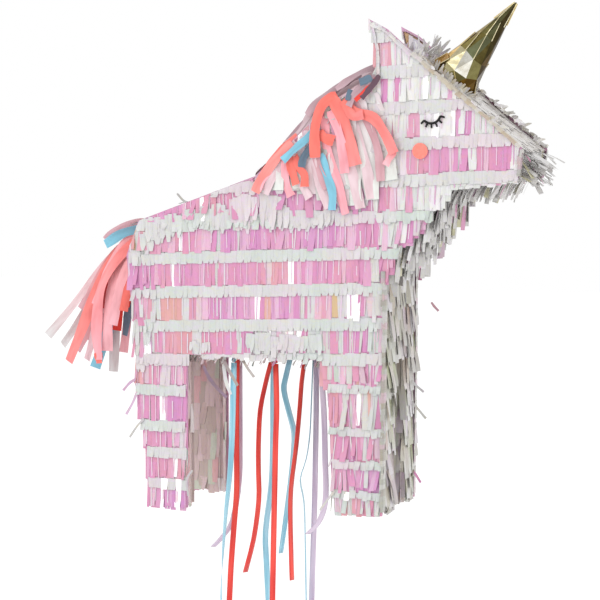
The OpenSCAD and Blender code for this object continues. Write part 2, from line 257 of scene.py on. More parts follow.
def satin_material(name, dark, light):
    """Satin ribbon: fine cross ribs, a soft sheen, and lighter and darker stretches that are painted sheen and
    painted shade
    """
    paint = Paint(name)
    # lighter and darker stretches along the ribbon, between its dark and light tones: painted sheen and painted
    # shade
    sheen_and_shade = paint.noise(1.0, 1.0, paint.strip_uv(1.5, 0.12))
    paint.wire(paint.ramp(sheen_and_shade, (0.35, dark), (0.65, light)), "Base Color")
    ribs = paint.node("ShaderNodeTexWave", paint.strip_uv(0.2, 1.0), Scale=18.0, Distortion=0.6)
    ribs.bands_direction = "Y"
    paint.bump(ribs.outputs["Fac"], 0.25, 0.0001)
    paint.shader.inputs["Roughness"].default_value = 0.38
    paint.shader.inputs["Sheen Weight"].default_value = 0.3
    paint.shader.inputs["Anisotropic"].default_value = 0.5
    return paint.material


def solid_material(name, tones, scale, roughness, grain, metallic=0.0):
    """A surface with noise between tones, and grain as bump"""
    paint = Paint(name)
    place = paint.node("ShaderNodeTexCoord").outputs["Object"]
    spots = paint.noise(scale, 5.0, place, 0.65)
    step = 0.4 / (len(tones) - 1)
    stops = [(0.3 + step * i, linear(*tone)) for i, tone in enumerate(tones)]
    paint.wire(paint.ramp(spots, *stops), "Base Color")
    paint.bump(paint.noise(scale * 6, 3.0, place), grain, 0.0004)
    smooth, rough = grey(roughness * 0.8), grey(min(1, roughness * 1.15))
    paint.wire(paint.ramp(spots, (0.3, smooth), (0.7, rough)), "Roughness")
    paint.shader.inputs["Metallic"].default_value = metallic
    return paint.material


def foil_material():
    """Gold foil: each facet's tint, which holds its painted reflection and painted shade, with scratches and
    pin-prick creases
    """
    paint = Paint("gold_foil_crumpled")
    place = paint.node("ShaderNodeTexCoord").outputs["Object"]
    wear = paint.ramp(paint.noise(130.0, 4.0, place), (0.35, (0.72, 0.68, 0.6, 1)), (0.6, WHITE))
    paint.wire(paint.multiply(0.8, paint.tint(), wear), "Base Color")
    creases = paint.node("ShaderNodeTexVoronoi", place, Scale=160.0)
    paint.bump(creases.outputs["Distance"], 0.35, 0.0008)
    paint.shader.inputs["Metallic"].default_value = 0.9
    paint.shader.inputs["Roughness"].default_value = 0.24
    return paint.material


# ---------------------------------------------------------------- strips of film and tissue


def along(tint, f):
    """A strip's tint part of the way down it: one colour, or a change between two"""
    return mix_colours(*tint, f) if isinstance(tint[0], tuple) else tint


class Strips:
    """Thin strips gathered into one mesh, each with its own tint and its own shift in the texture"""

    def __init__(self):
        self.verts, self.faces, self.tints, self.uvs = [], [], [], []

    def add(self, spine, sides, widths, tint, shift, columns=1):
        """A strip down the spine's points. sides are the unit vectors across it, one for each point"""
        rows = [
            [point + side * (width * (c / columns - 0.5)) for c in range(columns + 1)]
            for point, side, width in zip(spine, sides, widths)
        ]
        self.add_rows(rows, spine, tint, shift)

    def add_rows(self, rows, line, tint, shift):
        """A strip given by its rows of points, and the line that its length is measured along"""
        first, stride = len(self.verts), len(rows[0])
        steps, columns = len(rows) - 1, stride - 1
        runs = [0]
        for a, b in zip(line, line[1:]):
            runs.append(runs[-1] + (b - a).length)
        for row in rows:
            self.verts.extend(row)
        for i in range(steps):
            for c in range(columns):
                a = first + i * stride + c
                self.faces.append((a, a + stride, a + stride + 1, a + 1))
                for u, k in ((c, i), (c, i + 1), (c + 1, i + 1), (c + 1, i)):
                    self.uvs.extend((u / columns + shift, runs[k] * 100 + shift * 1.7))
                    self.tints.extend(along(tint, k / steps))

    def add_backing(self, face, lift, tint):
        """A sheet over all of a face, behind its strips"""
        for polygon in face.polygons:
            first = len(self.verts)
            corners = [face.mesh.vertices[i].co for i in polygon.vertices]
            self.verts.extend(c + face.normal * (lift - face.skin) for c in corners)
            self.faces.append(tuple(range(first, first + len(corners))))
            for c in corners:
                place = c - face.origin
                self.uvs.extend((place.dot(face.right) * 180, place.dot(face.down) * 100))
                self.tints.extend(tint)

    def build(self, name, material, body, replaced=()):
        mesh = bpy.data.meshes.new(name)
        mesh.from_pydata(self.verts, [], self.faces)
        tint = mesh.color_attributes.new("tint", "FLOAT_COLOR", "CORNER")
        tint.data.foreach_set("color", self.tints)
        uv = mesh.uv_layers.new(name="strip")
        uv.data.foreach_set("uv", self.uvs)
        mesh.materials.append(material)
        mesh.shade_smooth()
        piece = new_object(name, mesh)
        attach(piece, body)
        if replaced:
            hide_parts(*replaced)
        return piece


SKIN = 3 * MM  # the CAD fringe's thickness: strips lie between the card and this
FILM_DEPTH = 0.77  # the film's paint against its look in the studio's light


def film(r, g, b):
    """A film colour: a screen colour as it looks in the studio's light"""
    return tuple(v * FILM_DEPTH for v in linear(r, g, b)[:3]) + (1.0,)


def picker(*choices):
    """A function that draws a film colour from weighted screen colours"""
    weights = [c[0] for c in choices]
    colours = [film(*c[1]) for c in choices]
    return lambda rng, place=None: rng.choices(colours, weights)[0]


PINK_SCALE = [film(*c) for c in (
    (214, 150, 208), (222, 152, 205), (228, 152, 202), (231, 155, 198), (234, 160, 192), (236, 168, 180),
    (238, 180, 168), (228, 186, 150))]
GLINT = linear(255, 255, 255)


def pinks(rng, place):
    """Pink film: the hue drifts over the body from mauve to peach, and varies a little from strip to strip"""
    drift = noise.noise(Vector((place.x / 0.055, place.z / 0.028, 3.1))) * 0.55 + 0.44 + rng.gauss(0, 0.04)
    f = max(0.0, min(0.999, drift)) * (len(PINK_SCALE) - 1)
    low, high, t = PINK_SCALE[int(f)], PINK_SCALE[int(f) + 1], f - int(f)
    pale = rng.random() ** 5 * 0.7
    return mix_colours(mix_colours(low, high, t), film(250, 222, 238), pale)


def pales(rng, place):
    """Pale film: nearly one tone, drifting between mint, grey and a touch of pink"""
    drift = noise.noise(Vector((place.x / 0.05, place.z / 0.03, 8.7))) + rng.gauss(0, 0.08)
    mint, grey, rose = film(216, 229, 221), film(226, 228, 226), film(234, 222, 228)
    side = rose if drift > 0 else mint
    t = min(1, abs(drift) * 1.6)
    shade = rng.uniform(0.965, 1.02)
    return tuple(mix(a, b, t) * shade for a, b in zip(grey[:3], side[:3])) + (1.0,)


HEAD_WHITES = picker(
    (5, (240, 243, 240)), (3, (230, 235, 230)), (3, (248, 247, 246)), (0.7, (243, 232, 238)),
)
MOTTLED = picker(
    (6, (226, 226, 220)), (3, (236, 214, 220)), (2, (230, 200, 214)), (0.8, (226, 196, 150)),
    (1, (238, 186, 176)), (1, (208, 222, 208)), (0.4, (176, 160, 168)), (1.5, (228, 160, 204)),
)
GREYS = picker(
    (6, (214, 214, 210)), (3, (198, 199, 195)), (4, (228, 229, 227)), (0.8, (206, 204, 168)),
    (0.5, (196, 170, 186)), (0.8, (178, 176, 172)), (0.3, (228, 160, 196)),
)
BACK_GREYS = picker((4, (206, 207, 204)), (2, (190, 192, 188)), (2, (222, 223, 220)), (0.8, (222, 176, 206)))
BROW = picker(
    (6, (221, 218, 211)), (3, (212, 208, 198)), (3, (230, 229, 225)), (0.8, (216, 202, 178)),
    (0.4, (204, 200, 192)),
)
LINING = picker((5, (226, 223, 236)), (2, (214, 214, 226)), (1, (236, 234, 240)), (0.5, (196, 198, 206)))
TAUPES = picker(
    (4, (222, 200, 196)), (3, (228, 204, 204)), (2, (206, 188, 180)), (1.5, (212, 218, 200)),
    (1, (232, 184, 186)), (1, (234, 228, 226)),
)
ROOT_TONES = [film(*c) for c in (
    (186, 182, 132), (204, 202, 188), (178, 184, 142), (196, 188, 172), (172, 164, 150), (196, 176, 190),
    (196, 168, 146), (214, 212, 208), (190, 190, 184), (168, 156, 158))]
END_TONES = [film(*c) for c in (
    (206, 209, 206), (222, 224, 224), (196, 198, 194), (214, 208, 212), (190, 192, 176))]


def front_film(rng, place):
    """Film on the chest and the front legs: olive, tan or mauve at the root, and grey at the end"""
    drift = noise.noise(Vector((place.y / 0.016, place.z / 0.03, 5.5))) * 0.5 + 0.42 + rng.gauss(0, 0.12)
    root = ROOT_TONES[int(max(0.0, min(0.999, drift)) * len(ROOT_TONES))]
    return root, mix_colours(root, rng.choice(END_TONES), rng.uniform(0.6, 1.0))


def in_mm(p):
    return p.x / MM, p.z / MM


def poll_height(x):
    """The line where an ear meets the head, in millimetres"""
    return (x - 86) * 20 / 36


def in_ear(p):
    """How loose the film is above the line where an ear meets the head, and None below it"""
    x, z = in_mm(p)
    return 0.1 if z > 63 + poll_height(x) and x > 76 else None


class Face:
    """The outer faces of a CAD skin that look one way: where strips may lie"""

    def __init__(self, node, towards, down=None, agree=0.9, skin=None):
        self.mesh = mesh = nodes[node].data
        self.skin = SKIN if skin is None else skin
        towards = Vector(towards).normalized()
        corners = [v.co for v in mesh.vertices]
        whole = BVHTree.FromPolygons(corners, [tuple(p.vertices) for p in mesh.polygons])
        self.polygons = [
            p for p in mesh.polygons
            if p.normal.dot(towards) > agree
            and whole.ray_cast(p.center + p.normal * 0.1 * MM, p.normal, 0.3)[0] is None
        ]
        widest = max(self.polygons, key=lambda p: p.area)
        self.normal = widest.normal.copy()
        down = Vector(down) if down else -UP
        self.down = (down - self.normal * down.dot(self.normal)).normalized()
        self.right = self.down.cross(self.normal).normalized()
        self.origin = corners[widest.vertices[0]].copy()
        used = [corners[i] for p in self.polygons for i in p.vertices]
        self.s_range = [f((c - self.origin).dot(self.right) for c in used) for f in (min, max)]
        self.t_range = [f((c - self.origin).dot(self.down) for c in used) for f in (min, max)]
        self.tree = BVHTree.FromPolygons(corners, [tuple(p.vertices) for p in self.polygons])

    def at(self, s, t, lift=0.0):
        return self.origin + self.right * s + self.down * t + self.normal * lift

    def depth(self, s, t):
        """How far the skin is from the face's plane at a place, or None off its edge"""
        reach = 16 * MM
        hit = self.tree.ray_cast(self.at(s, t, reach), -self.normal, 2 * reach)
        return None if hit[0] is None else reach - hit[3]

    def has(self, s, t):
        return self.depth(s, t) is not None


SHORTEST = 2.5 * MM  # a shorter strip is left out
SEARCH_STEP = 1.5 * MM
CALM_LIFT = 2.4 * MM  # how far a strip that lies flat may stand off


def first_inside(face, s, t0, t1):
    """Where a line down the face at s first meets the face, between t0 and t1"""
    while t0 < t1 and not face.has(s, t0):
        t0 += SEARCH_STEP
    return t0 if t0 < t1 else None


def lay_strip(strips, face, rng, s, t0, t1, width, tint, low, high, loose=0.0, overhang=4 * MM, calm=False,
              taper=(0.8, 1.0)):
    """One strip down a face from t0 to t1. Its top follows the face's edge, and it ends near the edge"""
    left, right = s - width / 2, s + width / 2
    starts = [first_inside(face, edge, t0, t1) for edge in (left, right)]
    if starts[0] is None and starts[1] is None:
        return
    if starts[0] is None or starts[1] is None:
        middle = first_inside(face, s, t0, t1)
        if middle is None:
            return
        if starts[0] is None:
            left, starts[0] = s, middle
        else:
            right, starts[1] = s, middle
    start = max(starts)
    end = start
    while end < t1 and (face.has(left, end) or face.has(right, end)):
        end += 2 * MM
    end = min(t1, end + rng.uniform(-0.4, 1) * overhang)
    if end - start < SHORTEST:
        return
    turn = rng.gauss(0, math.radians(1.8 + 17 * loose))
    drift = rng.gauss(0, 0.015 + 0.16 * loose)
    curl = 0 if calm else rng.uniform(0, 1) ** 3 * (0.7 + 6 * loose) * MM
    rings = 3 if loose < 0.5 else 5
    across = right - left
    under = face.depth(s, start) or 0.0
    rows = []
    for i in range(rings + 1):
        f = i / rings
        middle = left + across / 2 + drift * (end - start) * f
        here = face.depth(middle, mix(start, end, f))
        under = under if here is None else here
        lift = mix(low, high, f) - face.skin + curl * f**2.5
        side = face.right * math.cos(turn * f**0.5) + face.normal * math.sin(turn * f**0.5)
        wide = across * (1 if i < rings else rng.uniform(*taper))
        rows.append([
            face.at(middle, mix(edge_start, end, f), lift + under) + side * (hand * wide / 2)
            for hand, edge_start in zip((-1, 1), starts)
        ])
    strips.add_rows(rows, [row[0] for row in rows], tint, rng.uniform(0, 40))


def lay_row(strips, face, rng, top, length, pick, width, low, high, loose=0.0, where=None, glints=0.0,
            reach=1.12, share=None, calm=None, stretch=None, taper=(0.8, 1.0)):
    """Strips side by side along a row. top gives the row's height at s, and where says how loose it is there.
    share gives the part of a row's strips that are pale there, and calm says where they have to lie flat"""
    s = face.s_range[0]
    while s < face.s_range[1]:
        w = rng.uniform(*width)
        middle = s + w / 2
        s += w
        t0 = top(middle)
        place = face.at(middle, t0 + length / 2)
        slack = loose if where is None else where(place)
        if slack is None:
            continue
        slack = min(slack, loose) if reach > 1.25 else slack
        choice = pick
        if share is not None and rng.random() < share(place):
            on_head = place.x > 40 * MM and place.z > -120 * MM
            choice = HEAD_WHITES if on_head else pales if rng.random() < 0.6 else MOTTLED
        tint = choice(rng, place)
        still = calm is not None and calm(place)
        size = length * rng.uniform(1 - 0.05 - 0.28 * slack, 1.02 + 0.2 * slack)
        if stretch is not None:
            more = stretch(place)
            size *= more * rng.uniform(1 - 0.35 * (more - 1), 1)
            t0 -= 0.35 * (more - 1) * length
        if rng.random() < glints:
            tint = GLINT
        t1 = t0 + size
        t0 += rng.gauss(0, 0.15 + 1.8 * slack) * MM
        end_lift, slack = (min(high, CALM_LIFT), 0.0) if still else (high, slack)
        lay_strip(strips, face, rng, middle, t0, t1, w * reach, tint, low, end_lift, slack, calm=still,
                  taper=taper)


def slivers(strips, face, rng, top, length, gap, where, lift):
    """Thin light threads of film over a row"""
    s = face.s_range[0]
    while s < face.s_range[1]:
        s += rng.uniform(*gap)
        t0 = top(s)
        place = face.at(s, t0)
        slack = where(place)
        if slack is None:
            continue
        part = rng.uniform(0.5, 1.0)
        start = t0 + (1 - part) * length * rng.random()
        lay_strip(strips, face, rng, s, start, start + part * length, rng.uniform(0.6, 1.5) * MM,
                  film(*rng.choice(((246, 226, 240), (240, 236, 240), (248, 214, 232), (228, 180, 214)))),
                  lift, lift + 0.3 * MM, slack * 0.6, overhang=MM, calm=True)


# ---------------------------------------------------------------- the body's film

ROW_PITCH = 36.6 * MM
ROW_SLOPE = 0.042  # the rows rise towards the nose
ROW_X = -54 * MM  # where the rows' heights are measured
BELLY_ROW = -227 * MM
PALE_LEN = 13.0 * MM
PINK_W = (3.5 * MM, 8.0 * MM)
PALE_W = (4.0 * MM, 8.5 * MM)

# Patches where the pink rows turn pale or stay pink: [x0, x1, z0, z1, share of pale strips], in millimetres
PATCHES = [
    (-200, -146, -119, -84, 0.6), (-146, -98, -119, -96, 0.3), (-160, -100, -96, -60, 0.15),
    (-100, -28, -99, -40, 0.12), (-28, 4, -97, -72, 0.4), (4, 52, -97, -74, 0.5),
    (-200, -160, -230, -168, 0.6), (-160, -136, -230, -208, 0.1), (-136, -110, -230, -208, 0.7),
    (-110, -52, -218, -204, 0.15), (-110, -60, -230, -218, 0.6), (-52, 30, -230, -200, 0.85),
    (2, 20, -200, -164, 0.6), (30, 110, -230, -124, 0.4),
    (80, 104, 66, 104, 0.2), (90, 108, 35, 58, 0.3), (108, 150, 44, 66, 0.95), (108, 146, 35, 46, 0.35),
    (111, 138, 0, 24, 0.15), (138, 157, -2, 34, 0.95), (157, 184, 2, 36, 0.25), (184, 230, 0, 20, 0.95),
    (121, 150, -36, -10, 0.1), (150, 170, -36, -8, 0.25), (170, 176, -36, -8, 0.9), (176, 206, -36, -14, 0.3),
    (206, 226, -36, -4, 0.2), (70, 108, -74, -50, 0.35), (108, 130, -74, -50, 0.6), (52, 98, -110, -84, 0.3),
    (98, 130, -110, -74, 0.55),
]
HEAD_PALE, BODY_PALE = 0.94, 0.08
REAR_FOOT, FRONT_FOOT = -395, -388
# The rows on a rear and a front leg, in millimetres: x from and to, the heights of the rows' tops, the foot's
# height, the pale header's length, and the pink rows' share of pale strips
LEG_ROWS = [
    (-200, -126, (-231, -265, -304, -333, -367), -400, 12, 0.12),
    (28, 100, (-224, -255, -300, -334, -366), -390, 9, 0.38),
]
STICKERS = ((145, 17, 17), (132.5, -13.5, 11))  # the middle and reach of the eyelid and the cheek


# Ragged tufts of pale film, mostly along the back: [x, top z, length, width], in millimetres
LEAVES = [
    (-176, -100, 26, 15), (-168, -88, 24, 17), (-158, -84, 26, 15), (-147, -80, 28, 14), (-137, -82, 24, 12),
    (-124, -74, 20, 12), (-114, -78, 16, 9), (-105, -72, 28, 11), (-91, -68, 35, 14), (-80, -74, 26, 10),
    (-70, -62, 36, 15), (-61, -58, 40, 15), (-53, -60, 36, 11), (-38, -56, 38, 12), (-27, -60, 38, 14),
    (-17, -70, 28, 13), (-9, -73, 24, 11), (4, -74, 23, 15), (16, -74, 22, 14), (28, -74, 22, 14),
    (-52, -206, 20, 12), (-40, -204, 22, 14), (-28, -206, 24, 12), (-14, -205, 22, 14), (0, -206, 22, 13),
    (12, -205, 20, 12), (20, -204, 22, 10), (-120, -216, 14, 10), (-106, -216, 12, 9), (-176, -206, 22, 9),
    (-192, -196, 26, 10), (-186, -236, 16, 10),
]


def row_height(index, x):
    return BELLY_ROW + index * ROW_PITCH + ROW_SLOPE * (x - ROW_X)


def pale_share(p):
    x, z = in_mm(p)
    for x0, x1, z0, z1, share in PATCHES:
        if x0 <= x < x1 and z0 <= z < z1:
            return share
    return HEAD_PALE if x > 40 and z > -60 else BODY_PALE


def shagginess(p):
    """How much longer the pale strips are than in a neat row: ragged along the back and on the belly"""
    x, z = in_mm(p)
    return 1.2 if z > -104 and x < 60 or z < -204 and -60 < x < 30 else 1.0


def by_sticker(p):
    x, z = in_mm(p)
    return any(abs(x - at_x) < reach and -reach < z - at_z < reach + 12 for at_x, at_z, reach in STICKERS)


def untidiness(p):
    """How untidy the side film is at a place: neat in the middle of the flank, unruly towards the ends"""
    x, z = in_mm(p)
    rump = max(0, (-150 - x) / 45) * 0.7
    top = max(0, min(1, (z + 112) / 30)) * 0.55 if x < 40 else 0
    shoulder = max(0, min(1, (x - 30) / 60)) * 0.5 if z < -60 else 0
    low = 0.5 if z < -206 and -52 < x < 30 else 0
    head = 0.16 if x > 40 and z > -60 else 0
    return min(0.8, max(0.04, rump, top, shoulder, low, head))


def side_film(name, node, sign):
    """The film on one side of the body: a pale header over each row of pink"""
    rng = random.Random(11 if sign < 0 else 12)
    face = Face(node, (0, sign, 0))
    strips = Strips()

    def height_row(index, drop=0.0):
        return lambda s: -(row_height(index, face.at(s, 0).x) - drop - face.origin.z)

    def torso_only(p):
        x, z = in_mm(p)
        if z < -246 or (z < -236 and not (x < -126 or x > 28)):
            return None
        return untidiness(p)

    strips.add_backing(face, 0.3 * MM, film(226, 172, 206))
    for index in range(-1, 11):
        lay_row(strips, face, rng, height_row(index + 1, MM), ROW_PITCH * 1.02, pinks, (5 * MM, 8 * MM),
                0.5 * MM, 0.7 * MM, 0.0, torso_only, 0.0, 1.3, pale_share)
        drop = PALE_LEN * 0.6
        lay_row(strips, face, rng, height_row(index + 1, drop), ROW_PITCH - drop + MM, pinks, PINK_W,
                0.9 * MM, 1.3 * MM, 0.1, torso_only, 0.045, 1.2, pale_share, by_sticker)
        slivers(strips, face, rng, height_row(index + 1, drop), ROW_PITCH - drop, (4 * MM, 12 * MM),
                torso_only, 1.5 * MM)
        lay_row(strips, face, rng, height_row(index), PALE_LEN, pales, PALE_W, 1.6 * MM, 2.1 * MM, 0.1,
                torso_only, 0.008, calm=by_sticker, stretch=shagginess, taper=(0.5, 1.0))
    for x, z, length, width in LEAVES:
        place = mm(x, 0, z) - face.origin
        s, t = place.dot(face.right), place.dot(face.down)
        for k in range(3):
            wide = width * rng.uniform(0.4, 0.65) * MM
            part = pales(rng, face.at(s, t))
            lay_strip(strips, face, rng, s + (k - 1) * width * 0.3 * MM, t + rng.uniform(-1, 2) * MM,
                      t + length * rng.uniform(0.7, 1.08) * MM, wide, part, 1.9 * MM, 2.5 * MM, 0.35, MM,
                      taper=(0.15, 0.7))
    for low_x, high_x, tops, foot, tall, pale in LEG_ROWS:

        def share(p, pale=pale):
            return pale

        def leg_only(p, low_x=low_x, high_x=high_x):
            x, z = in_mm(p)
            if not low_x < x < high_x or z > -230:
                return None
            return 0.16 if x < 0 else 0.5

        for k, high in enumerate(tops):
            low = tops[k + 1] if k + 1 < len(tops) else foot

            def level(drop, high=high):
                return lambda s: -((high - drop) * MM - face.origin.z)

            length = (high - low) * MM
            lay_row(strips, face, rng, level(1), length + 2 * MM, pinks, (5 * MM, 8 * MM), 0.4 * MM, 0.8 * MM,
                    0.02, leg_only, 0.0, 1.3, share)
            lay_row(strips, face, rng, level(tall * 0.5), length - tall * 0.5 * MM, pinks, (3.5 * MM, 7 * MM),
                    0.9 * MM, 1.6 * MM, 0.2, leg_only, 0.08, 1.12, share)
            slivers(strips, face, rng, level(tall * 0.5), length - 2 * MM, (5 * MM, 12 * MM), leg_only,
                    1.8 * MM)
            lay_row(strips, face, rng, level(0), tall * MM, pales, (3.5 * MM, 7 * MM), 1.9 * MM, 2.7 * MM,
                    0.25, leg_only, 0.04)
    strips.build(name, film_material(name), "box", (node,))


def shaggy(name, node, towards, pick, seed, body="box", length=26, pitch=15, width=(3.5, 6.5), loose=0.6,
           down=None, proud=0.5, droop=0.5, replaced=None, agree=0.9, spread=0.12, where=None, skin=None,
           wild=1.0, comb=0.0, lowest=None, base=(204, 203, 198)):
    """Film on an edge of the box: a backing, combed rows that lie along it, and wild strips that stand out.
    wild is the share of wild strips that are there, and comb how far the combed rows' ends stand out"""
    rng = random.Random(seed)
    strips = Strips()
    for way in towards:
        face = Face(node, way, down, agree, skin)
        if where is None:
            strips.add_backing(face, 0.3 * MM, film(*base))
        t = face.t_range[0] - 2 * MM
        while t < face.t_range[1]:
            lay_row(strips, face, rng, lambda s, t=t: t + 0.25 * (s % (31 * MM)), (pitch + 8) * MM, pick,
                    [w * 1.2 * MM for w in width], 0.6 * MM, (1.2 + comb) * MM, 0.12 * loose, where,
                    reach=1.25, taper=(0.55, 1.0))
            s = face.s_range[0]
            while s < face.s_range[1]:
                w = rng.uniform(*width) * MM
                middle = s + w / 2
                s += w * 0.85
                start = t + rng.uniform(-0.3, 0.3) * pitch * MM
                if rng.random() > wild or not face.has(middle, start):
                    continue
                if where and where(face.at(middle, start)) is None:
                    continue
                place = face.at(middle, start, 1.2 * MM - face.skin + face.depth(middle, start))
                size = length if lowest is None else min(length, (place.z / MM - lowest) * 1.05)
                if size > 6:
                    tint = pick(rng, place)
                    wild_strip(strips, place, face, rng, size, w, tint, proud, droop, loose, spread)
            t += pitch * MM
    strips.build(name, film_material(name), body, (node,) if replaced is None else replaced)


def wild_strip(strips, start, face, rng, length, width, tint, proud, droop, loose, spread):
    """A strip that leaves the face at a slant and bends down under its own weight"""
    size = length * MM * rng.uniform(0.7, 1.15)
    out = proud * rng.uniform(0.2, 1.0)
    heading = (face.down + face.normal * out + face.right * rng.gauss(0, spread + 0.25 * loose)).normalized()
    rings = 5
    point = start.copy()
    spine, sides, widths = [point.copy()], [face.right.copy()], [width]
    turn = rng.gauss(0, math.radians(12 + 30 * loose))
    for i in range(1, rings + 1):
        f = i / rings
        heading = (heading - UP * droop * rng.uniform(0.3, 1.0) / rings * 2).normalized()
        point = point + heading * size / rings
        under = (point - start).dot(face.normal)
        if under < 0.2 * MM:
            point += face.normal * (0.2 * MM - under)
        across = (face.right - heading * face.right.dot(heading)).normalized()
        across = Matrix.Rotation(turn * f, 3, heading) @ across
        spine.append(point.copy())
        sides.append(across)
        widths.append(width * (1 if i < rings else rng.uniform(0.7, 1.0)))
    strips.add(spine, sides, widths, tint, rng.uniform(0, 40))


# ---------------------------------------------------------------- curved strips along chosen points


def smooth_line(points, per_span):
    """A Catmull-Rom line through the points"""
    points = [Vector(p) for p in points]
    padded = [2 * points[0] - points[1]] + points + [2 * points[-1] - points[-2]]
    line = []
    for i in range(1, len(padded) - 2):
        a, b, c, d = padded[i - 1 : i + 3]
        for k in range(per_span):
            t = k / per_span
            curve = (2 * a - 5 * b + 4 * c - d) * t * t + (3 * b - 3 * c + d - a) * t**3
            line.append(0.5 * (2 * b + (c - a) * t + curve))
    line.append(points[-1])
    return line


def paper_strip(strips, rng, points, width, tint, facing, twist=0.25, columns=3):
    """A tissue strip along chosen points, flat towards facing, with a soft fold and a slow twist"""
    line = smooth_line(points, 5)
    facing = Vector(facing).normalized()
    phase, speed = rng.uniform(0, 6.3), rng.uniform(0.5, 1.1)
    headings = [(b - a).normalized() for a, b in zip(line[:1] + line, line[1:] + line[-1:])]
    sides, widths = [], []
    for i, heading in enumerate(headings):
        across = heading.cross(facing)
        across = across.normalized() if across.length > 0.05 else X
        sides.append(Matrix.Rotation(twist * math.sin(phase + speed * i * 0.6), 3, heading) @ across)
        widths.append(width * (1 + 0.06 * math.sin(phase * 2 + i)) * (1 if i else 0.7))
    first = len(strips.verts)
    strips.add(line, sides, widths, tint, rng.uniform(0, 40), columns)
    crease = rng.uniform(-1, 1) * 0.9 * MM
    for i, (side, heading) in enumerate(zip(sides, headings)):
        out = side.cross(heading).normalized()
        for c in range(1, columns):
            strips.verts[first + i * (columns + 1) + c] += out * crease * math.sin(math.pi * c / columns)


# Stray strips of film, as [colour, width, [x, y, z] points], in millimetres
STRAYS = [
    ((214, 176, 208), 3, [(-190, -57, -260), (-197, -58, -265), (-204, -59, -273)]),
    ((226, 196, 218), 3, [(-188, -57, -274), (-193, -58, -286), (-200, -60, -299)]),
    ((206, 204, 200), 2.4, [(-180, -57, -303), (-187, -59, -311), (-196, -60, -324)]),
    ((206, 204, 202), 2.4, [(-122, -57, -356), (-128, -59, -366), (-126, -60, -384)]),
    ((222, 220, 216), 2.4, [(42, -57, -366), (34, -59, -377), (26, -60, -388)]),
    ((214, 194, 218), 4, [(-144, 20, -252), (-134, 18, -268), (-114, 16, -286)]),
    ((182, 172, 166), 3.6, [(-88, -50, -236), (-80, -52, -248), (-70, -54, -262)]),
    ((196, 188, 182), 3, [(-66, -50, -234), (-60, -52, -242), (-51, -54, -252)]),
    ((222, 222, 220), 2.6, [(90, 40, -256), (98, 40, -264), (108, 40, -272)]),
    ((216, 216, 212), 2.6, [(90, 42, -280), (100, 42, -290), (110, 42, -301)]),
    ((232, 156, 200), 2.6, [(90, 50, -356), (96, 50, -364), (102, 50, -373)]),
    ((196, 150, 162), 2.6, [(128, 0, -171), (131, 0, -175), (136, 0, -180)]),
    ((188, 186, 182), 2.4, [(-140, -54, -58), (-132, -54, -66), (-124, -54, -68)]),
    ((232, 234, 232), 4, [(-88, -50, -240), (-84, -53, -258), (-78, -54, -272)]),
    ((206, 206, 202), 2.4, [(152, 40, 57), (160, 42, 64), (164, 42, 76)]),
]
# Outline edges with film folded over them, as [distance out, [tones], [x, z] points], in millimetres
PALE_TONES = ((230, 228, 232), (240, 240, 240), (234, 222, 230))
BROW_TONES = ((214, 206, 190), (204, 190, 166), (226, 222, 214))
DULL_TONES = ((186, 188, 178), (206, 206, 200), (176, 172, 160), (206, 184, 190))
FOLDED_EDGES = [
    (0.8, PALE_TONES, [(86, 62), (86, 88), (80, 115.5), (95, 107.4), (123, 83)]),
    (3.5, BROW_TONES, [(122, 83), (234, -12)]),
    (3.5, DULL_TONES, [(234, -12), (231, -38)]),
    (3.5, DULL_TONES, [(92, -136), (92, -230), (90.5, -386)]),
]


def tuft(strips, rng, start, heading, side, size, bend, widths, tones, steps=(0, 0.4, 0.75, 1)):
    """A short strip that leaves its start in a heading and bends away from it"""
    spine = [start + heading * size * f + bend * MM * f * f for f in steps]
    strips.add(spine, [side] * 4, [w * MM for w in widths], film(*rng.choice(tones)), rng.uniform(0, 40))


FOLD_LENGTH = 6 * MM


def fold_edge(strips, rng, sign, away, tones, a, b):
    """Film folded over the outline between two of its points, on one side of the body"""
    steps = max(1, round((b - a).length / FOLD_LENGTH))
    out = (b - a).normalized().cross(Y) * MM
    for k in range(steps):
        low, high = a.lerp(b, k / steps), a.lerp(b, min(1, (k + 1.2) / steps))
        middle, lift = (low + high) / 2, away + rng.uniform(0, 0.5)
        fold = [(49, lift), (54, lift), (57.3, lift - 0.4), (57.6, lift - rng.uniform(2, 4.5))]
        spine = [middle + out * d + Y * (sign * y * MM) for y, d in fold]
        along_edge = high - low
        strips.add(spine, [along_edge.normalized()] * 4, [along_edge.length] * 4, film(*rng.choice(tones)),
                   rng.uniform(0, 40))


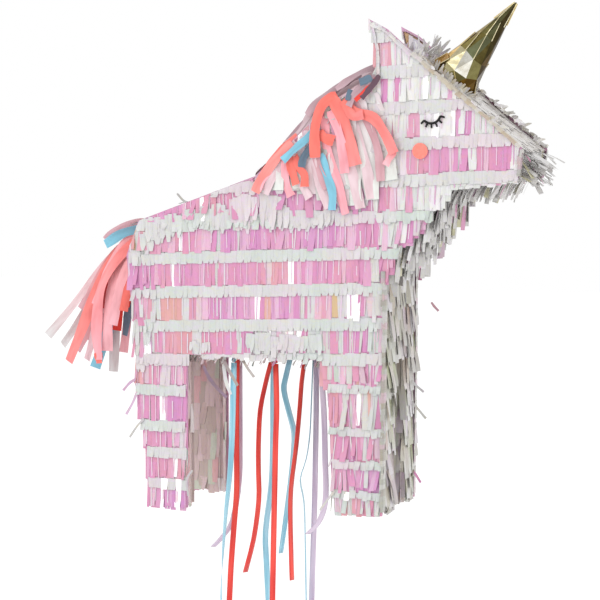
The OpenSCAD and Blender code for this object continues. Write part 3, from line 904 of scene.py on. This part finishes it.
def make_strays():
    """Loose ends of film that stick out, the film folded over the outline, and the ruff at the horn's foot"""
    rng = random.Random(95)
    strips = Strips()
    for colour, width, points in STRAYS:
        paper_strip(strips, rng, [mm(*p) for p in points], width * MM, film(*colour), (0.2, -1, 0.1), 0.3, 1)
    for sign in (-1, 1):
        for away, tones, points in FOLDED_EDGES:
            places = [mm(x, 0, z) for x, z in points]
            for a, b in zip(places, places[1:]):
                fold_edge(strips, rng, sign, away, tones, a, b)
    for _ in range(80):  # along the forehead's edges
        across = rng.choice((-1, 1, 1, 1)) * rng.uniform(40, 56)
        start = mm(124, 0, 86).lerp(mm(236, 0, -9), rng.random()) + Y * across * MM
        heading = Vector((rng.uniform(0.1, 1.1), rng.uniform(-0.4, 0.5), rng.uniform(-0.7, 0.8))).normalized()
        side = heading.cross(Vector((rng.uniform(-1, 1), rng.uniform(-1, 1), 0.2))).normalized()
        tuft(strips, rng, start, heading, side, rng.uniform(5, 11) * MM, UP * -2.5, (3.6, 3.4, 2.6, 1),
             ((232, 232, 226), (218, 218, 212), (244, 244, 242)))
    around = 54
    for k in range(around):  # round the horn's foot
        a = 2 * math.pi * (k + rng.uniform(-0.3, 0.3)) / around
        rim = HORN_SLOPE * math.cos(a) + Y * math.sin(a)
        heading = (HORN_AXIS * rng.uniform(0.6, 1.1) + rim * rng.uniform(-0.05, 0.45)).normalized()
        start = HORN_FOOT + rim * 27.5 * MM - HORN_AXIS * 1.5 * MM
        tuft(strips, rng, start, heading, heading.cross(rim).normalized(), rng.uniform(7, 12) * MM, rim * 2.2,
             (4.5, 4.2, 3.4, 1.6), ((240, 238, 228), (232, 226, 204), (224, 224, 220), (250, 249, 245)),
             (0, 0.35, 0.7, 1))
    for _ in range(60):  # between the ears
        start = mm(rng.uniform(102, 126), rng.uniform(-46, 50), 0)
        start.z = (64 + poll_height(start.x / MM) + 2) * MM
        heading = Vector((rng.uniform(-0.3, 0.9), rng.uniform(-0.3, 0.3), rng.uniform(0.5, 1))).normalized()
        size = rng.uniform(12, 27) * MM
        across = Vector((rng.uniform(-1, 1), rng.uniform(-1, 1), rng.uniform(-0.5, 0.5)))
        side = across.cross(heading).normalized()
        tuft(strips, rng, start, heading, side, size, UP * -3, (4, 4, 3, 1.2),
             ((206, 206, 204), (222, 222, 220), (236, 236, 236), (222, 216, 230)))
    strips.build("film_loose_ends", film_material("film_loose_ends"), "box")


# ---------------------------------------------------------------- mane and tail

CORAL = linear(244, 116, 104)
CORAL_SOFT = linear(246, 146, 140)
ROSE = linear(248, 172, 182)
MAUVE = linear(206, 160, 168)
MAUVE_PALE = linear(224, 198, 204)
SKY = linear(128, 192, 214)
SLATE = linear(96, 116, 134)
RED = linear(232, 62, 50)
PLUM = linear(96, 68, 82)
CRIMSON = linear(190, 60, 66)
DUSK = linear(208, 202, 202)

MIST = (linear(228, 216, 220), linear(222, 226, 220))
MIST_ROSE = (linear(226, 198, 204), linear(232, 214, 218))
FADED_CORAL = (linear(240, 118, 106), linear(244, 140, 138))
FADED_ROSE = (linear(238, 146, 146), linear(244, 182, 190))
CREST_MAUVE = (linear(150, 124, 132), linear(196, 164, 172))
CREST_PALE = (linear(176, 152, 158), linear(216, 190, 196))

# Mane strips on the near side, as [tint, width, y at the root, y at the end, [x, z] points], in millimetres
MANE_STRIPS = [
    (MIST, 18, -55.5, -58, [(80, 44), (88, 20), (96, -10), (101, -43)]),
    (MIST, 18, -55.5, -58, [(66, 40), (72, 10), (78, -26), (82, -63)]),
    (MIST, 18, -55.5, -58, [(54, 38), (56, 8), (60, -30), (63, -69)]),
    (MIST_ROSE, 18, -55.5, -58, [(40, 32), (42, 4), (45, -30), (48, -69)]),
    (MIST, 17, -55.5, -58, [(26, 18), (27, -8), (29, -34), (30, -64)]),
    (MIST_ROSE, 16, -55.5, -58, [(12, 8), (12, -14), (14, -34), (16, -58)]),
    (MIST, 16, -55.5, -58, [(-2, -4), (-4, -20), (-4, -36), (-2, -54)]),
    (MIST, 14, -55.5, -58, [(-16, -16), (-20, -28), (-22, -40), (-22, -54)]),
    (MAUVE_PALE, 11, -56, -60, [(46, 32), (50, 0), (62, -40), (70, -72)]),
    (MAUVE_PALE, 11, -56, -60, [(52, 36), (64, 6), (76, -30), (82, -62)]),
    (ROSE, 10, -56, -60, [(30, 22), (32, -8), (44, -44), (54, -78)]),
    (MAUVE_PALE, 10, -56, -61, [(20, 14), (16, -12), (24, -42), (36, -72)]),
    (MAUVE_PALE, 10, -56, -60, [(6, 2), (0, -22), (4, -44), (14, -62)]),
    (MAUVE, 9, -56, -60, [(60, 42), (76, 18), (88, -12), (92, -44)]),
    (ROSE, 9, -56, -60, [(-10, -10), (-14, -30), (-12, -48), (-6, -60)]),
    (MAUVE_PALE, 10, -57, -60, [(-2, -4), (-20, -26), (-30, -44), (-36, -58)]),
    (ROSE, 9, -57, -61, [(-14, -14), (-26, -26), (-38, -42), (-44, -54)]),
    (CORAL_SOFT, 10, -58, -62, [(-6, -4), (-22, -20), (-38, -40), (-46, -56)]),
    (CORAL, 9, -58, -62, [(-10, -16), (-8, -26), (-4, -36), (0, -48)]),
    (CORAL, 9, -58, -63, [(-6, -14), (2, -30), (9, -38), (10, -50)]),
    (SKY, 8, -59, -64, [(24, 12), (12, 0), (0, -10), (-14, -23)]),
    (SLATE, 8, -58, -62, [(26, 6), (16, -8), (8, -20), (6, -30)]),
    (MAUVE, 9, -58, -62, [(22, 2), (20, -14), (26, -34), (34, -52)]),
    (SKY, 9, -59, -63, [(26, -16), (33, -36), (40, -56), (40, -74)]),
    (ROSE, 10, -59, -63, [(36, 28), (45, 10), (51, -12), (54, -36)]),
    (CORAL, 11, -59, -64, [(44, 44), (28, 33), (21, 8), (22, -20)]),
    (CORAL, 11, -58.5, -62, [(24, 6), (31, 0), (42, -3)]),
    (FADED_CORAL, 13, -59, -64, [(38, 42), (50, 22), (60, -6), (66, -28)]),
    (FADED_CORAL, 11, -59, -64, [(50, 38), (64, 26), (84, 20), (98, 2), (107, -16)]),
    (FADED_ROSE, 7, -62, -63, [(108, -14), (102, -20), (98, -28)]),
    (FADED_CORAL, 10, -60, -63, [(52, 38), (57, 28), (64, 22), (74, 24)]),
    (PLUM, 6, -60, -63, [(90, 63), (84, 54), (78, 47), (72, 40)]),
    (RED, 5, -60, -63, [(88, 60), (80, 52), (72, 44), (65, 38)]),
    (CREST_MAUVE, 7, -60, -63, [(86, 62), (74, 54), (64, 44), (58, 32)]),
    (SLATE, 8, -61, -64, [(82, 61), (76, 58), (70, 56)]),
    (SLATE, 6, -61, -63, [(60, 49), (58, 44), (57, 38)]),
]

# Strips folded along the crest, which stand up over the neck's edge: [tint, width, y, [x, z] points]
CREST_STRIPS = [
    (CREST_PALE, 12, -30, [(86, 70), (66, 60), (46, 50), (26, 34), (8, 14)]),
    (CREST_MAUVE, 8, -45, [(88, 74), (68, 68), (52, 59), (40, 50)]),
    (CREST_MAUVE, 9, -44, [(54, 60), (34, 49), (18, 38), (8, 24)]),
    (CREST_PALE, 9, -42, [(32, 47), (12, 30), (-2, 10), (-16, -6)]),
    (CREST_MAUVE, 8, -44, [(12, 27), (-4, 9), (-18, -7), (-30, -22)]),
    (CREST_MAUVE, 8, -36, [(62, 66), (48, 58), (34, 46), (24, 30)]),
    (CREST_PALE, 8, -20, [(78, 74), (58, 66), (40, 52), (22, 40)]),
    (CREST_MAUVE, 9, -10, [(60, 66), (40, 54), (20, 38), (2, 20)]),
    (MAUVE_PALE, 10, -49, [(66, 52), (52, 44), (40, 32), (30, 16)]),
    (FADED_CORAL, 10, -50, [(-4, 4), (-18, -10), (-30, -24), (-44, -42)]),
    (FADED_ROSE, 9, 20, [(50, 62), (30, 50), (10, 34), (-8, 18)]),
    (CREST_MAUVE, 9, 36, [(66, 68), (44, 56), (22, 40), (4, 22)]),
    (FADED_CORAL, 9, 44, [(30, 42), (10, 26), (-10, 6), (-28, -12)]),
    (SKY, 8, 30, [(8, 28), (-10, 12), (-26, -4), (-40, -22)]),
    (MAUVE_PALE, 9, 0, [(34, 52), (12, 38), (-6, 20), (-22, 0)]),
    (CREST_PALE, 10, -20, [(18, 38), (2, 22), (-12, 6), (-26, -12)]),
]

# Tail strips from their root on the rump: [tint, width, [x, y, z] points]
TAIL_STRIPS = [
    ((ROSE, DUSK), 11, [(-194, 4, -106), (-227, 2, -114), (-263, -4, -150), (-300, -8, -194),
        (-326, -8, -222)]),
    ((ROSE, DUSK), 11, [(-194, 10, -108), (-224, 10, -118), (-252, 8, -148), (-286, 6, -196), (-315, 6, -234)]),
    ((CORAL, MAUVE), 11, [(-196, 6, -104), (-222, 4, -114), (-250, 8, -150), (-274, 10, -200),
        (-298, 10, -240)]),
    ((ROSE, MAUVE_PALE), 11, [(-196, -2, -106), (-226, -2, -120), (-250, 2, -160), (-268, 4, -204),
        (-284, 6, -250)]),
    (FADED_ROSE, 11, [(-196, 12, -112), (-220, 14, -134), (-232, 14, -180), (-240, 12, -240)]),
    ((RED, CRIMSON), 10, [(-194, -4, -110), (-222, -6, -128), (-246, -8, -160), (-257, -6, -188)]),
    (RED, 10, [(-194, 4, -112), (-218, 2, -134), (-234, 0, -166), (-242, 0, -214)]),
    (RED, 10, [(-192, -2, -118), (-208, -2, -140), (-222, -2, -166), (-229, -2, -186)]),
    (SLATE, 9, [(-192, 2, -124), (-214, 2, -150), (-228, 4, -186), (-234, 4, -220)]),
    ((MAUVE_PALE, DUSK), 11, [(-196, 0, -112), (-228, 4, -150), (-246, 8, -200), (-251, 8, -262)]),
    ((SLATE, SKY), 12, [(-196, -2, -112), (-230, 4, -156), (-252, 2, -210), (-268, -4, -257)]),
    (FADED_ROSE, 12, [(-196, -6, -108), (-224, -12, -128), (-243, -14, -170), (-247, -14, -236)]),
    (FADED_CORAL, 12, [(-195, -8, -102), (-228, -12, -118), (-256, -14, -160), (-276, -16, -208),
        (-295, -16, -250)]),
    ((CORAL, ROSE), 12, [(-195, -4, -106), (-222, -16, -122), (-250, -18, -160), (-258, -18, -206),
        (-256, -18, -246)]),
    ((CORAL, CORAL), 10, [(-257, -17, -238), (-256, -18, -243), (-255, -18, -250)]),
    ((CORAL, MAUVE), 10, [(-196, 0, -102), (-228, -6, -116), (-258, -8, -150), (-282, -10, -190)]),
    (MAUVE, 10, [(-190, 0, -94), (-206, 0, -92), (-222, -4, -94), (-240, -8, -102), (-250, -8, -112)]),
    ((SLATE, SKY), 11, [(-192, -10, -98), (-208, -14, -99), (-226, -17, -104), (-246, -18, -116)]),
    (FADED_CORAL, 11, [(-195, 14, -108), (-224, 16, -130), (-248, 18, -170), (-262, 18, -226)]),
    ((CORAL, MAUVE_PALE), 11, [(-195, 16, -104), (-220, 18, -122), (-252, 18, -158), (-280, 16, -212)]),
    (FADED_ROSE, 11, [(-192, -12, -106), (-208, -16, -122), (-226, -18, -156), (-238, -18, -206)]),
    ((CRIMSON, CORAL), 10, [(-190, -14, -110), (-202, -17, -128), (-216, -18, -154), (-224, -18, -190)]),
    ((ROSE, MAUVE), 12, [(-194, 8, -108), (-224, 8, -130), (-252, 6, -176), (-270, 4, -222)]),
    ((MAUVE, MAUVE_PALE), 12, [(-194, 14, -104), (-226, 14, -124), (-260, 14, -174), (-288, 12, -226)]),
    (FADED_ROSE, 11, [(-194, -10, -100), (-220, -14, -112), (-242, -16, -140), (-262, -16, -184)]),
]


def make_side_mane(name, node, sign, seed, wobble, material):
    """The mane on one side: the near side's strips, or for sign -1 their mirror, moved a little by wobble"""
    rng = random.Random(seed)
    strips = Strips()
    for tint, width, root_y, end_y, points in MANE_STRIPS:
        last = len(points) - 1
        line = [
            mm(x + rng.uniform(-wobble, wobble), sign * mix(root_y, end_y, i / last),
               z + rng.uniform(-wobble, wobble))
            for i, (x, z) in enumerate(points)
        ]
        paper_strip(strips, rng, line, width * MM, tint, (0, -sign, 0))
    strips.build(name, material, "box", (node,))


# The tissue that covers the crest: each tint and its weight
CREST_TINTS = (
    (CREST_MAUVE, CREST_PALE, MIST_ROSE, FADED_ROSE, FADED_CORAL, MAUVE_PALE, SKY, SLATE),
    (5, 5, 4, 3, 2, 3, 0.7, 0.5),
)


def make_crest(material):
    """Chosen strips over the neck's edge, and rows of short ones that cover the crest but for its eyelet"""
    rng = random.Random(33)
    strips = Strips()
    for tint, width, y, points in CREST_STRIPS:
        inward = -2 if y < 0 else 2
        line = [mm(x, y + inward * i, z) for i, (x, z) in enumerate(points)]
        paper_strip(strips, rng, line, width * MM, tint, (-0.25, -0.85 if y < 10 else 0.85, 0.45))
    low, high = mm(-52, 0, -44), mm(84, 0, 62)
    slope = (high - low).normalized()
    square = Vector((-slope.z, 0, slope.x))
    rows = 11
    for row in range(rows):
        for y in range(-50, 51, 7):
            start = low.lerp(high, (row + 1.4 + rng.uniform(-0.3, 0.3)) / rows)
            start += Y * (y + rng.uniform(-3, 3)) * MM
            start += square * rng.uniform(0.6, 2.2) * MM
            size = rng.uniform(22, 34) * MM
            if abs(start.y) < 15 * MM and (start - slope * size).x < 12 * MM and start.x > -12 * MM:
                continue  # it would hide the eyelet
            line = [
                start - slope * size * f + square * (rng.uniform(1, 5) * f * (1 - f) + 1.6 * (1 - f)) * MM
                + Y * rng.uniform(-3, 3) * f * MM
                for f in (0, 0.35, 0.7, 1)
            ]
            tint = rng.choices(*CREST_TINTS)[0]
            paper_strip(strips, rng, line, rng.uniform(8, 12) * MM, tint, square, 0.2)
    strips.build("mane_strips_crest", material, "box", ("mane_crest",))


def make_tail(material):
    rng = random.Random(41)
    strips = Strips()
    for tint, width, points in TAIL_STRIPS:
        paper_strip(strips, rng, [mm(*p) for p in points], width * MM, tint, (0, -1, 0.15), 0.35)
    strips.build("tail_strips", material, "box", ("tail",))


# ---------------------------------------------------------------- horn


HORN_SLOPE = (mm(234, 0, -12) - mm(122, 0, 83)).normalized()  # down the forehead, from the poll to the nose
HORN_AXIS = Vector((-HORN_SLOPE.z, 0, HORN_SLOPE.x))
HORN_FOOT = mm(122, 0, 83) + HORN_SLOPE * 37 * MM
# the bright tones of the foil's folds: painted highlights
CREASE_HIGHLIGHTS = ((236, 226, 188), (206, 186, 128))
# The foil's facets, from the horn's foot up: each ring's height, and its colours from the nose's side round by
# the far side, the poll and the near side. The colours are painted reflections and painted shade, dark or near
# white
HORN_RINGS_AND_REFLECTIONS = [
    (4, [(110, 82, 24), (96, 76, 30), (140, 116, 56), (84, 66, 28), (176, 138, 62),
         (120, 98, 44), (206, 196, 150), (120, 112, 66), (96, 70, 20), (104, 78, 22)]),
    (15, [(100, 76, 24), (128, 104, 44), (90, 74, 34), (150, 128, 68), (132, 100, 40),
          (186, 152, 78), (226, 216, 176), (250, 248, 238), (122, 116, 72), (74, 58, 20)]),
    (34, [(58, 46, 18), (132, 112, 56), (104, 86, 38), (170, 146, 84), (120, 98, 44),
          (126, 108, 52), (132, 120, 64), (116, 120, 88), (72, 64, 30), (84, 64, 22)]),
    (56, [(46, 38, 16), (116, 98, 44), (142, 120, 64), (96, 80, 36), (134, 114, 58),
          (112, 98, 46), (104, 98, 58), (92, 92, 62), (54, 46, 20), (72, 56, 20)]),
    (78, [(60, 50, 22), (128, 108, 52), (108, 90, 42), (150, 132, 74), (110, 92, 42),
          (118, 108, 64), (128, 122, 82), (84, 82, 52), (48, 40, 18), (52, 42, 18)]),
    (101, []),
]


def make_horn():
    """A cone of creased foil: long flat facets coloured with painted reflections and shade, painted highlights
    along their creases, and a lapped flap at its foot
    """
    rng = random.Random(51)
    height, radius, tip_radius, around = 101 * MM, 26.5 * MM, 1.0 * MM, 10
    verts, faces, tints, rings = [], [], [], []

    def on_horn(a, rise, r):
        return HORN_FOOT + HORN_AXIS * rise + (HORN_SLOPE * math.cos(a) + Y * math.sin(a)) * r

    for level, (h, _) in enumerate(HORN_RINGS_AND_REFLECTIONS):
        ring = []
        for k in range(around):
            a = 2 * math.pi * (k + 0.5 * (level % 2) + rng.uniform(-0.12, 0.12)) / around
            rise = h * MM + (rng.uniform(-3, 3) * MM if 0 < level < len(HORN_RINGS_AND_REFLECTIONS) - 1 else 0)
            r = mix(radius, tip_radius, rise / height) * (1 + rng.uniform(-0.03, 0.03))
            ring.append(on_horn(a, rise, r))
        rings.append(ring)

    def facet(corners, colour):
        first = len(verts)
        verts.extend(corners)
        faces.append(tuple(range(first, first + len(corners))))
        tints.extend([linear(*colour)] * len(corners))

    def crease(a, b, colour):
        """A fold between two corners, just proud of the facets, coloured as a painted highlight"""
        middle = (a + b) / 2 - HORN_FOOT
        out = (middle - HORN_AXIS * middle.dot(HORN_AXIS)).normalized()
        side = out.cross(b - a).normalized() * 0.45 * MM
        lift = out * 0.3 * MM
        facet([a - side + lift, a + side + lift, b + side * 0.5 + lift, b - side * 0.5 + lift], colour)

    # each facet takes its painted reflection or painted shade from the table
    for level, (_, colours) in enumerate(HORN_RINGS_AND_REFLECTIONS[:-1]):
        low, high = rings[level], rings[level + 1]
        for k in range(around):
            n = (k + 1) % around
            # the second triangle of each facet is painted 18% darker: painted shade
            shaded_half = tuple(c * 0.82 for c in colours[k])
            if level % 2:
                facet([low[k], low[n], high[n]], colours[k])
                facet([low[k], high[n], high[k]], shaded_half)
            else:
                facet([low[k], low[n], high[k]], colours[k])
                facet([low[n], high[n], high[k]], shaded_half)
            # some folds between facets get a strip with a painted highlight
            if rng.random() < 0.35:
                crease(low[n], high[n if level % 2 else k], rng.choice(CREASE_HIGHLIGHTS))
    flap = [
        on_horn(math.radians(a), rise * MM, r * MM)
        for a, rise, r in ((206, 19, 22.5), (238, 17, 23.5), (232, 6, 27), (210, 5, 28.5))
    ]
    facet(flap, (150, 112, 44))
    # painted highlights along the flap's two folds
    crease(flap[0], flap[3], (236, 222, 176))
    crease(flap[1], flap[2], (240, 232, 200))
    tip = HORN_FOOT + HORN_AXIS * (height + MM)
    for k in range(around):
        facet([rings[-1][k], rings[-1][(k + 1) % around], tip], (96, 80, 36))
    mesh = bpy.data.meshes.new("horn")
    mesh.from_pydata(verts, [], faces)
    layer = mesh.color_attributes.new("tint", "FLOAT_COLOR", "CORNER")
    layer.data.foreach_set("color", [v for t in tints for v in t])
    mesh.materials.append(foil_material())
    horn = new_object("horn_foil", mesh)
    thicken(horn, 1.0 * MM, -1)
    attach(horn, "box")
    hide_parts("horn_cone")


# ---------------------------------------------------------------- ribbons

RIBBON_W = 6.35 * MM
# The ribbons' routes, as in the part: colour, y, turn at the top and end in degrees, and [x, z] points
RIBBONS = {
    "blue_left": ("blue", -34, 0, 150, [(-83, -240), (-84, -275), (-86, -330), (-89, -370), (-93, -406),
                  (-97, -450), (-98, -471), (-99, -498), (-100, -540)]),
    "red_centre": ("red", -27.5, 0, 8, [(-37, -240), (-36, -286), (-37, -320), (-38, -359), (-39, -400),
                   (-40, -450), (-41, -494), (-42, -545)]),
    "red_front": ("red", -20.5, 62, 60, [(-7, -240), (-10, -262), (-12, -285), (-16, -329), (-22, -376),
                  (-23, -412), (-22, -445), (-21, -476)]),
    "red_middle": ("red", -13.5, 58, 52, [(-48, -240), (-54, -262), (-61, -293), (-63, -330), (-63, -363),
                   (-63, -393), (-69, -436), (-79, -474)]),
    "lilac_curl": ("lilac", -7, 0, 20, [(6, -240), (9, -270), (11, -301), (12, -345), (13, -377), (11, -397),
                   (4, -414), (-8, -427)]),
    "red_back": ("red", 0, 0, 20, [(-94, -240), (-95, -290), (-95, -339), (-95, -385), (-98, -422),
                 (-102, -470), (-104, -506), (-106, -540)]),
    "lilac_back": ("lilac", 7, 0, 30, [(-94, -240), (-94, -290), (-94, -335), (-95, -376), (-103, -422),
                   (-116, -442), (-127, -454)]),
    "blue_middle": ("blue", 13.5, 0, 60, [(-37, -240), (-42, -260), (-44, -274), (-38, -298), (-32, -321),
                    (-33, -345), (-36, -373), (-42, -417), (-48, -456)]),
    "blue_centre": ("blue", 20.5, 0, 30, [(-59, -240), (-60, -285), (-60, -331), (-62, -381), (-69, -434),
                    (-68, -470), (-66, -508), (-65, -530)]),
    "blue_edge": ("blue", 27.5, 100, 100, [(-15, -240), (-17, -290), (-19, -322), (-23, -351), (-30, -375),
                  (-26, -400), (-24, -450), (-23, -505), (-23, -545)]),
    "lilac_front": ("lilac", 34, 0, 10, [(-14, -240), (-14, -300), (-15, -368), (-16, -410), (-17, -442),
                    (-19, -506), (-20, -555)]),
}


def make_ribbons(satins):
    for name, (colour, y, top_turn, end_turn, points) in RIBBONS.items():
        line = smooth_line([mm(x, y, z) for x, z in points], 3)
        strips = Strips()
        rng = random.Random(name)
        turns = [math.radians(mix(top_turn, end_turn, i / (len(line) - 1))) for i in range(len(line))]
        sides = [X * math.cos(turn) + Y * math.sin(turn) for turn in turns]
        columns, bow = 4, 0.5 * MM
        strips.add(line, sides, [RIBBON_W] * len(line), WHITE, rng.uniform(0, 40), columns)
        for i, side in enumerate(sides):
            out = side.cross(UP).normalized()
            wave = bow * math.sin(i * 0.7 + rng.uniform(0, 0.4))
            for c in range(columns + 1):
                strips.verts[i * (columns + 1) + c] += out * wave * (math.sin(math.pi * c / columns) - 0.5)
        piece = strips.build("satin_" + name, satins[colour], "ribbon_" + name + "_body",
                             ("ribbon_" + name,))
        thicken(piece, 0.3 * MM, 0)


def make_knots(material):
    """A small tied lump of ribbon at each ribbon's top"""
    strips = Strips()
    tones = {"red": linear(214, 48, 38), "blue": linear(128, 192, 212), "lilac": linear(200, 184, 204)}
    for name, (colour, y, _, _, points) in RIBBONS.items():
        rng = random.Random("knot" + name)
        centre = mm(points[0][0], y, -237)
        for turn in range(3):
            swing = Matrix.Rotation(rng.uniform(-0.6, 0.6) + turn * 1.05, 3, "Z")
            r = (2.4 - 0.25 * turn) * MM
            angles = [2 * math.pi * i / 12 for i in range(13)]
            loop = [centre + swing @ Vector((math.cos(a), 0, math.sin(a))) * r for a in angles]
            across = (swing @ Y).normalized()
            strips.add(loop, [across] * 13, [3.2 * MM] * 13, tones[colour], rng.uniform(0, 40), 2)
        stem = [centre + UP * z * MM for z in (2, 4, 6, 8.5)]
        for across in (X, Y):
            strips.add(stem, [across] * 4, [2 * MM] * 4, tones[colour], 0.0)
    strips.build("ribbon_knots_tied", material, "door", ("ribbon_knots",))


# ---------------------------------------------------------------- everything in order


# The CAD nodes that show as they are: material, tones, scale, roughness, grain, metallic and nodes
CARD = [n for n in nodes if n.endswith(("_panel", "_strip", "_liner", "_foot"))] + ["belly_floor", "trap_door"]
SURFACES = [
    ("kraft_card", [(150, 118, 84), (184, 150, 112), (206, 176, 140)], 60, 0.85, 0.4, 0, CARD),
    ("white_card", [(226, 224, 218), (244, 243, 238)], 70, 0.8, 0.3, 0, ["door_catch_tab"]),
    ("clear_tape", [(214, 208, 190), (232, 228, 214)], 40, 0.3, 0.15, 0, ["door_hinge_tape"]),
    ("white_plastic", [(228, 228, 224), (242, 242, 240)], 90, 0.35, 0.1, 0,
     ["hanging_eyelet", "eyelet_washer"]),
    ("black_felt", [(10, 10, 11), (28, 27, 28)], 300, 0.95, 0.6, 0, ["eyelash_near", "eyelash_far"]),
    ("coral_felt", [(252, 126, 112), (255, 148, 134)], 260, 0.9, 0.5, 0, ["cheek_near", "cheek_far"]),
    ("gold_card", [(140, 112, 46), (190, 160, 80)], 90, 0.3, 0.3, 0.85, ["horn_collar"]),
]


def main():
    make_camera()
    make_lights()
    make_stage()

    satins = {
        "red": satin_material("satin_red", linear(208, 34, 26), linear(240, 72, 58)),
        "blue": satin_material("satin_blue", linear(128, 190, 212), linear(172, 220, 236)),
        "lilac": satin_material("satin_lilac", linear(192, 174, 198), linear(216, 202, 220)),
    }
    make_ribbons(satins)
    tissue = tissue_material()
    make_knots(tissue)

    side_film("film_near_side", "near_side_fringe", -1)
    side_film("film_far_side", "far_side_fringe", 1)

    shaggy("film_back", "back_fringe", [(-0.34, 0, 0.94)], BACK_GREYS, seed=61, length=20, pitch=13,
           proud=0.45, droop=0.3, loose=0.2, wild=0.35, comb=1.4, width=(6, 10), base=(206, 206, 202))
    shaggy("film_rump", "back_fringe", [(-0.9, 0, 0.3), (-1, 0, -0.1)], MOTTLED, seed=69, length=24,
           pitch=26, width=(5, 9), proud=0.2, droop=0.3, loose=0.2, wild=0.3, comb=1, replaced=())
    shaggy("film_forehead", "forehead_fringe", [(0.65, 0, 0.76)], BROW, seed=62, length=30, pitch=22,
           width=(6, 10), proud=0.2, droop=0.1, loose=0.06, wild=0.05, comb=0.1, base=(220, 217, 208))
    shaggy("film_muzzle", "muzzle_fringe", [(1, 0, 0)], GREYS, seed=63, length=22, pitch=7, width=(4, 8),
           proud=4, droop=0.12, loose=0.3, spread=0.5, wild=0.8, base=(224, 224, 220))
    shaggy("film_jaw", "muzzle_fringe", [(0.1, 0, -1)], GREYS, seed=68, length=25, pitch=11,
           width=(4, 7), proud=0.9, droop=0.8, loose=0.35, down=(-1, 0, -0.4), replaced=(), wild=0.8)
    shaggy("film_throat", "throat_fringe", [(0.8, 0, -0.6), (0.85, 0, -0.5)], GREYS, seed=64, length=34,
           pitch=17, width=(6, 10), proud=0.75, droop=0.9, loose=0.3, agree=0.8, wild=0.85, comb=1,
           base=(222, 222, 218))
    shaggy("film_chest", "chest_fringe", [(1, 0, 0)], front_film, seed=65, length=36, pitch=31, width=(6, 11),
           proud=0.35, droop=0.7, loose=0.2, wild=0.6, comb=2.4, spread=0.16, base=(222, 220, 208))
    shaggy("film_belly", "belly_fringe", [(0, 0, -1)], MOTTLED, seed=66, length=13, pitch=12, proud=0.9,
           droop=0.9, loose=0.5, down=(-1, 0, 0))
    shaggy("film_door", "door_fringe", [(0, 0, -1)], MOTTLED, body="door", seed=67, length=8, pitch=12,
           proud=0.12, droop=0.1, loose=0.15, down=(-1, 0, 0), wild=0.3, comb=-0.6, base=(226, 220, 222))
    for side, sign in (("near", -1), ("far", 1)):
        shaggy(f"film_{side}_rear_leg", f"{side}_rear_leg_fringe", [(1, 0, 0), (-1, 0, 0), (0, -sign, 0)],
               TAUPES, seed=70 + sign, length=28, pitch=30, width=(6, 10), proud=0.12, droop=0.2,
               loose=0.12, wild=0.2, lowest=REAR_FOOT, base=(218, 200, 196))
        shaggy(f"film_{side}_front_leg", f"{side}_front_leg_fringe", [(1, 0, 0), (-1, 0, 0), (0, -sign, 0)],
               front_film, seed=80 + sign, length=34, pitch=30, width=(6, 11), proud=0.3, droop=0.6, loose=0.2,
               wild=0.55, comb=2.2, lowest=FRONT_FOOT, spread=0.15, base=(214, 212, 200))
        shaggy(f"film_{side}_ear", f"{side}_side_panel", [(0, -sign, 0)], LINING, seed=90 + sign,
               pitch=16, width=(4, 7), loose=0.1, replaced=(), where=in_ear, skin=0, wild=0)
    make_strays()

    make_side_mane("mane_strips_near", "mane_near", 1, 31, 0, tissue)
    make_side_mane("mane_strips_far", "mane_far", -1, 32, 5, tissue)
    make_crest(tissue)
    make_tail(tissue)
    make_horn()

    for name, tones, scale, roughness, grain, metallic, names in SURFACES:
        material = solid_material(name, tones, scale, roughness, grain, metallic)
        for node in names:
            nodes[node].data.materials.clear()
            nodes[node].data.materials.append(material)


main()
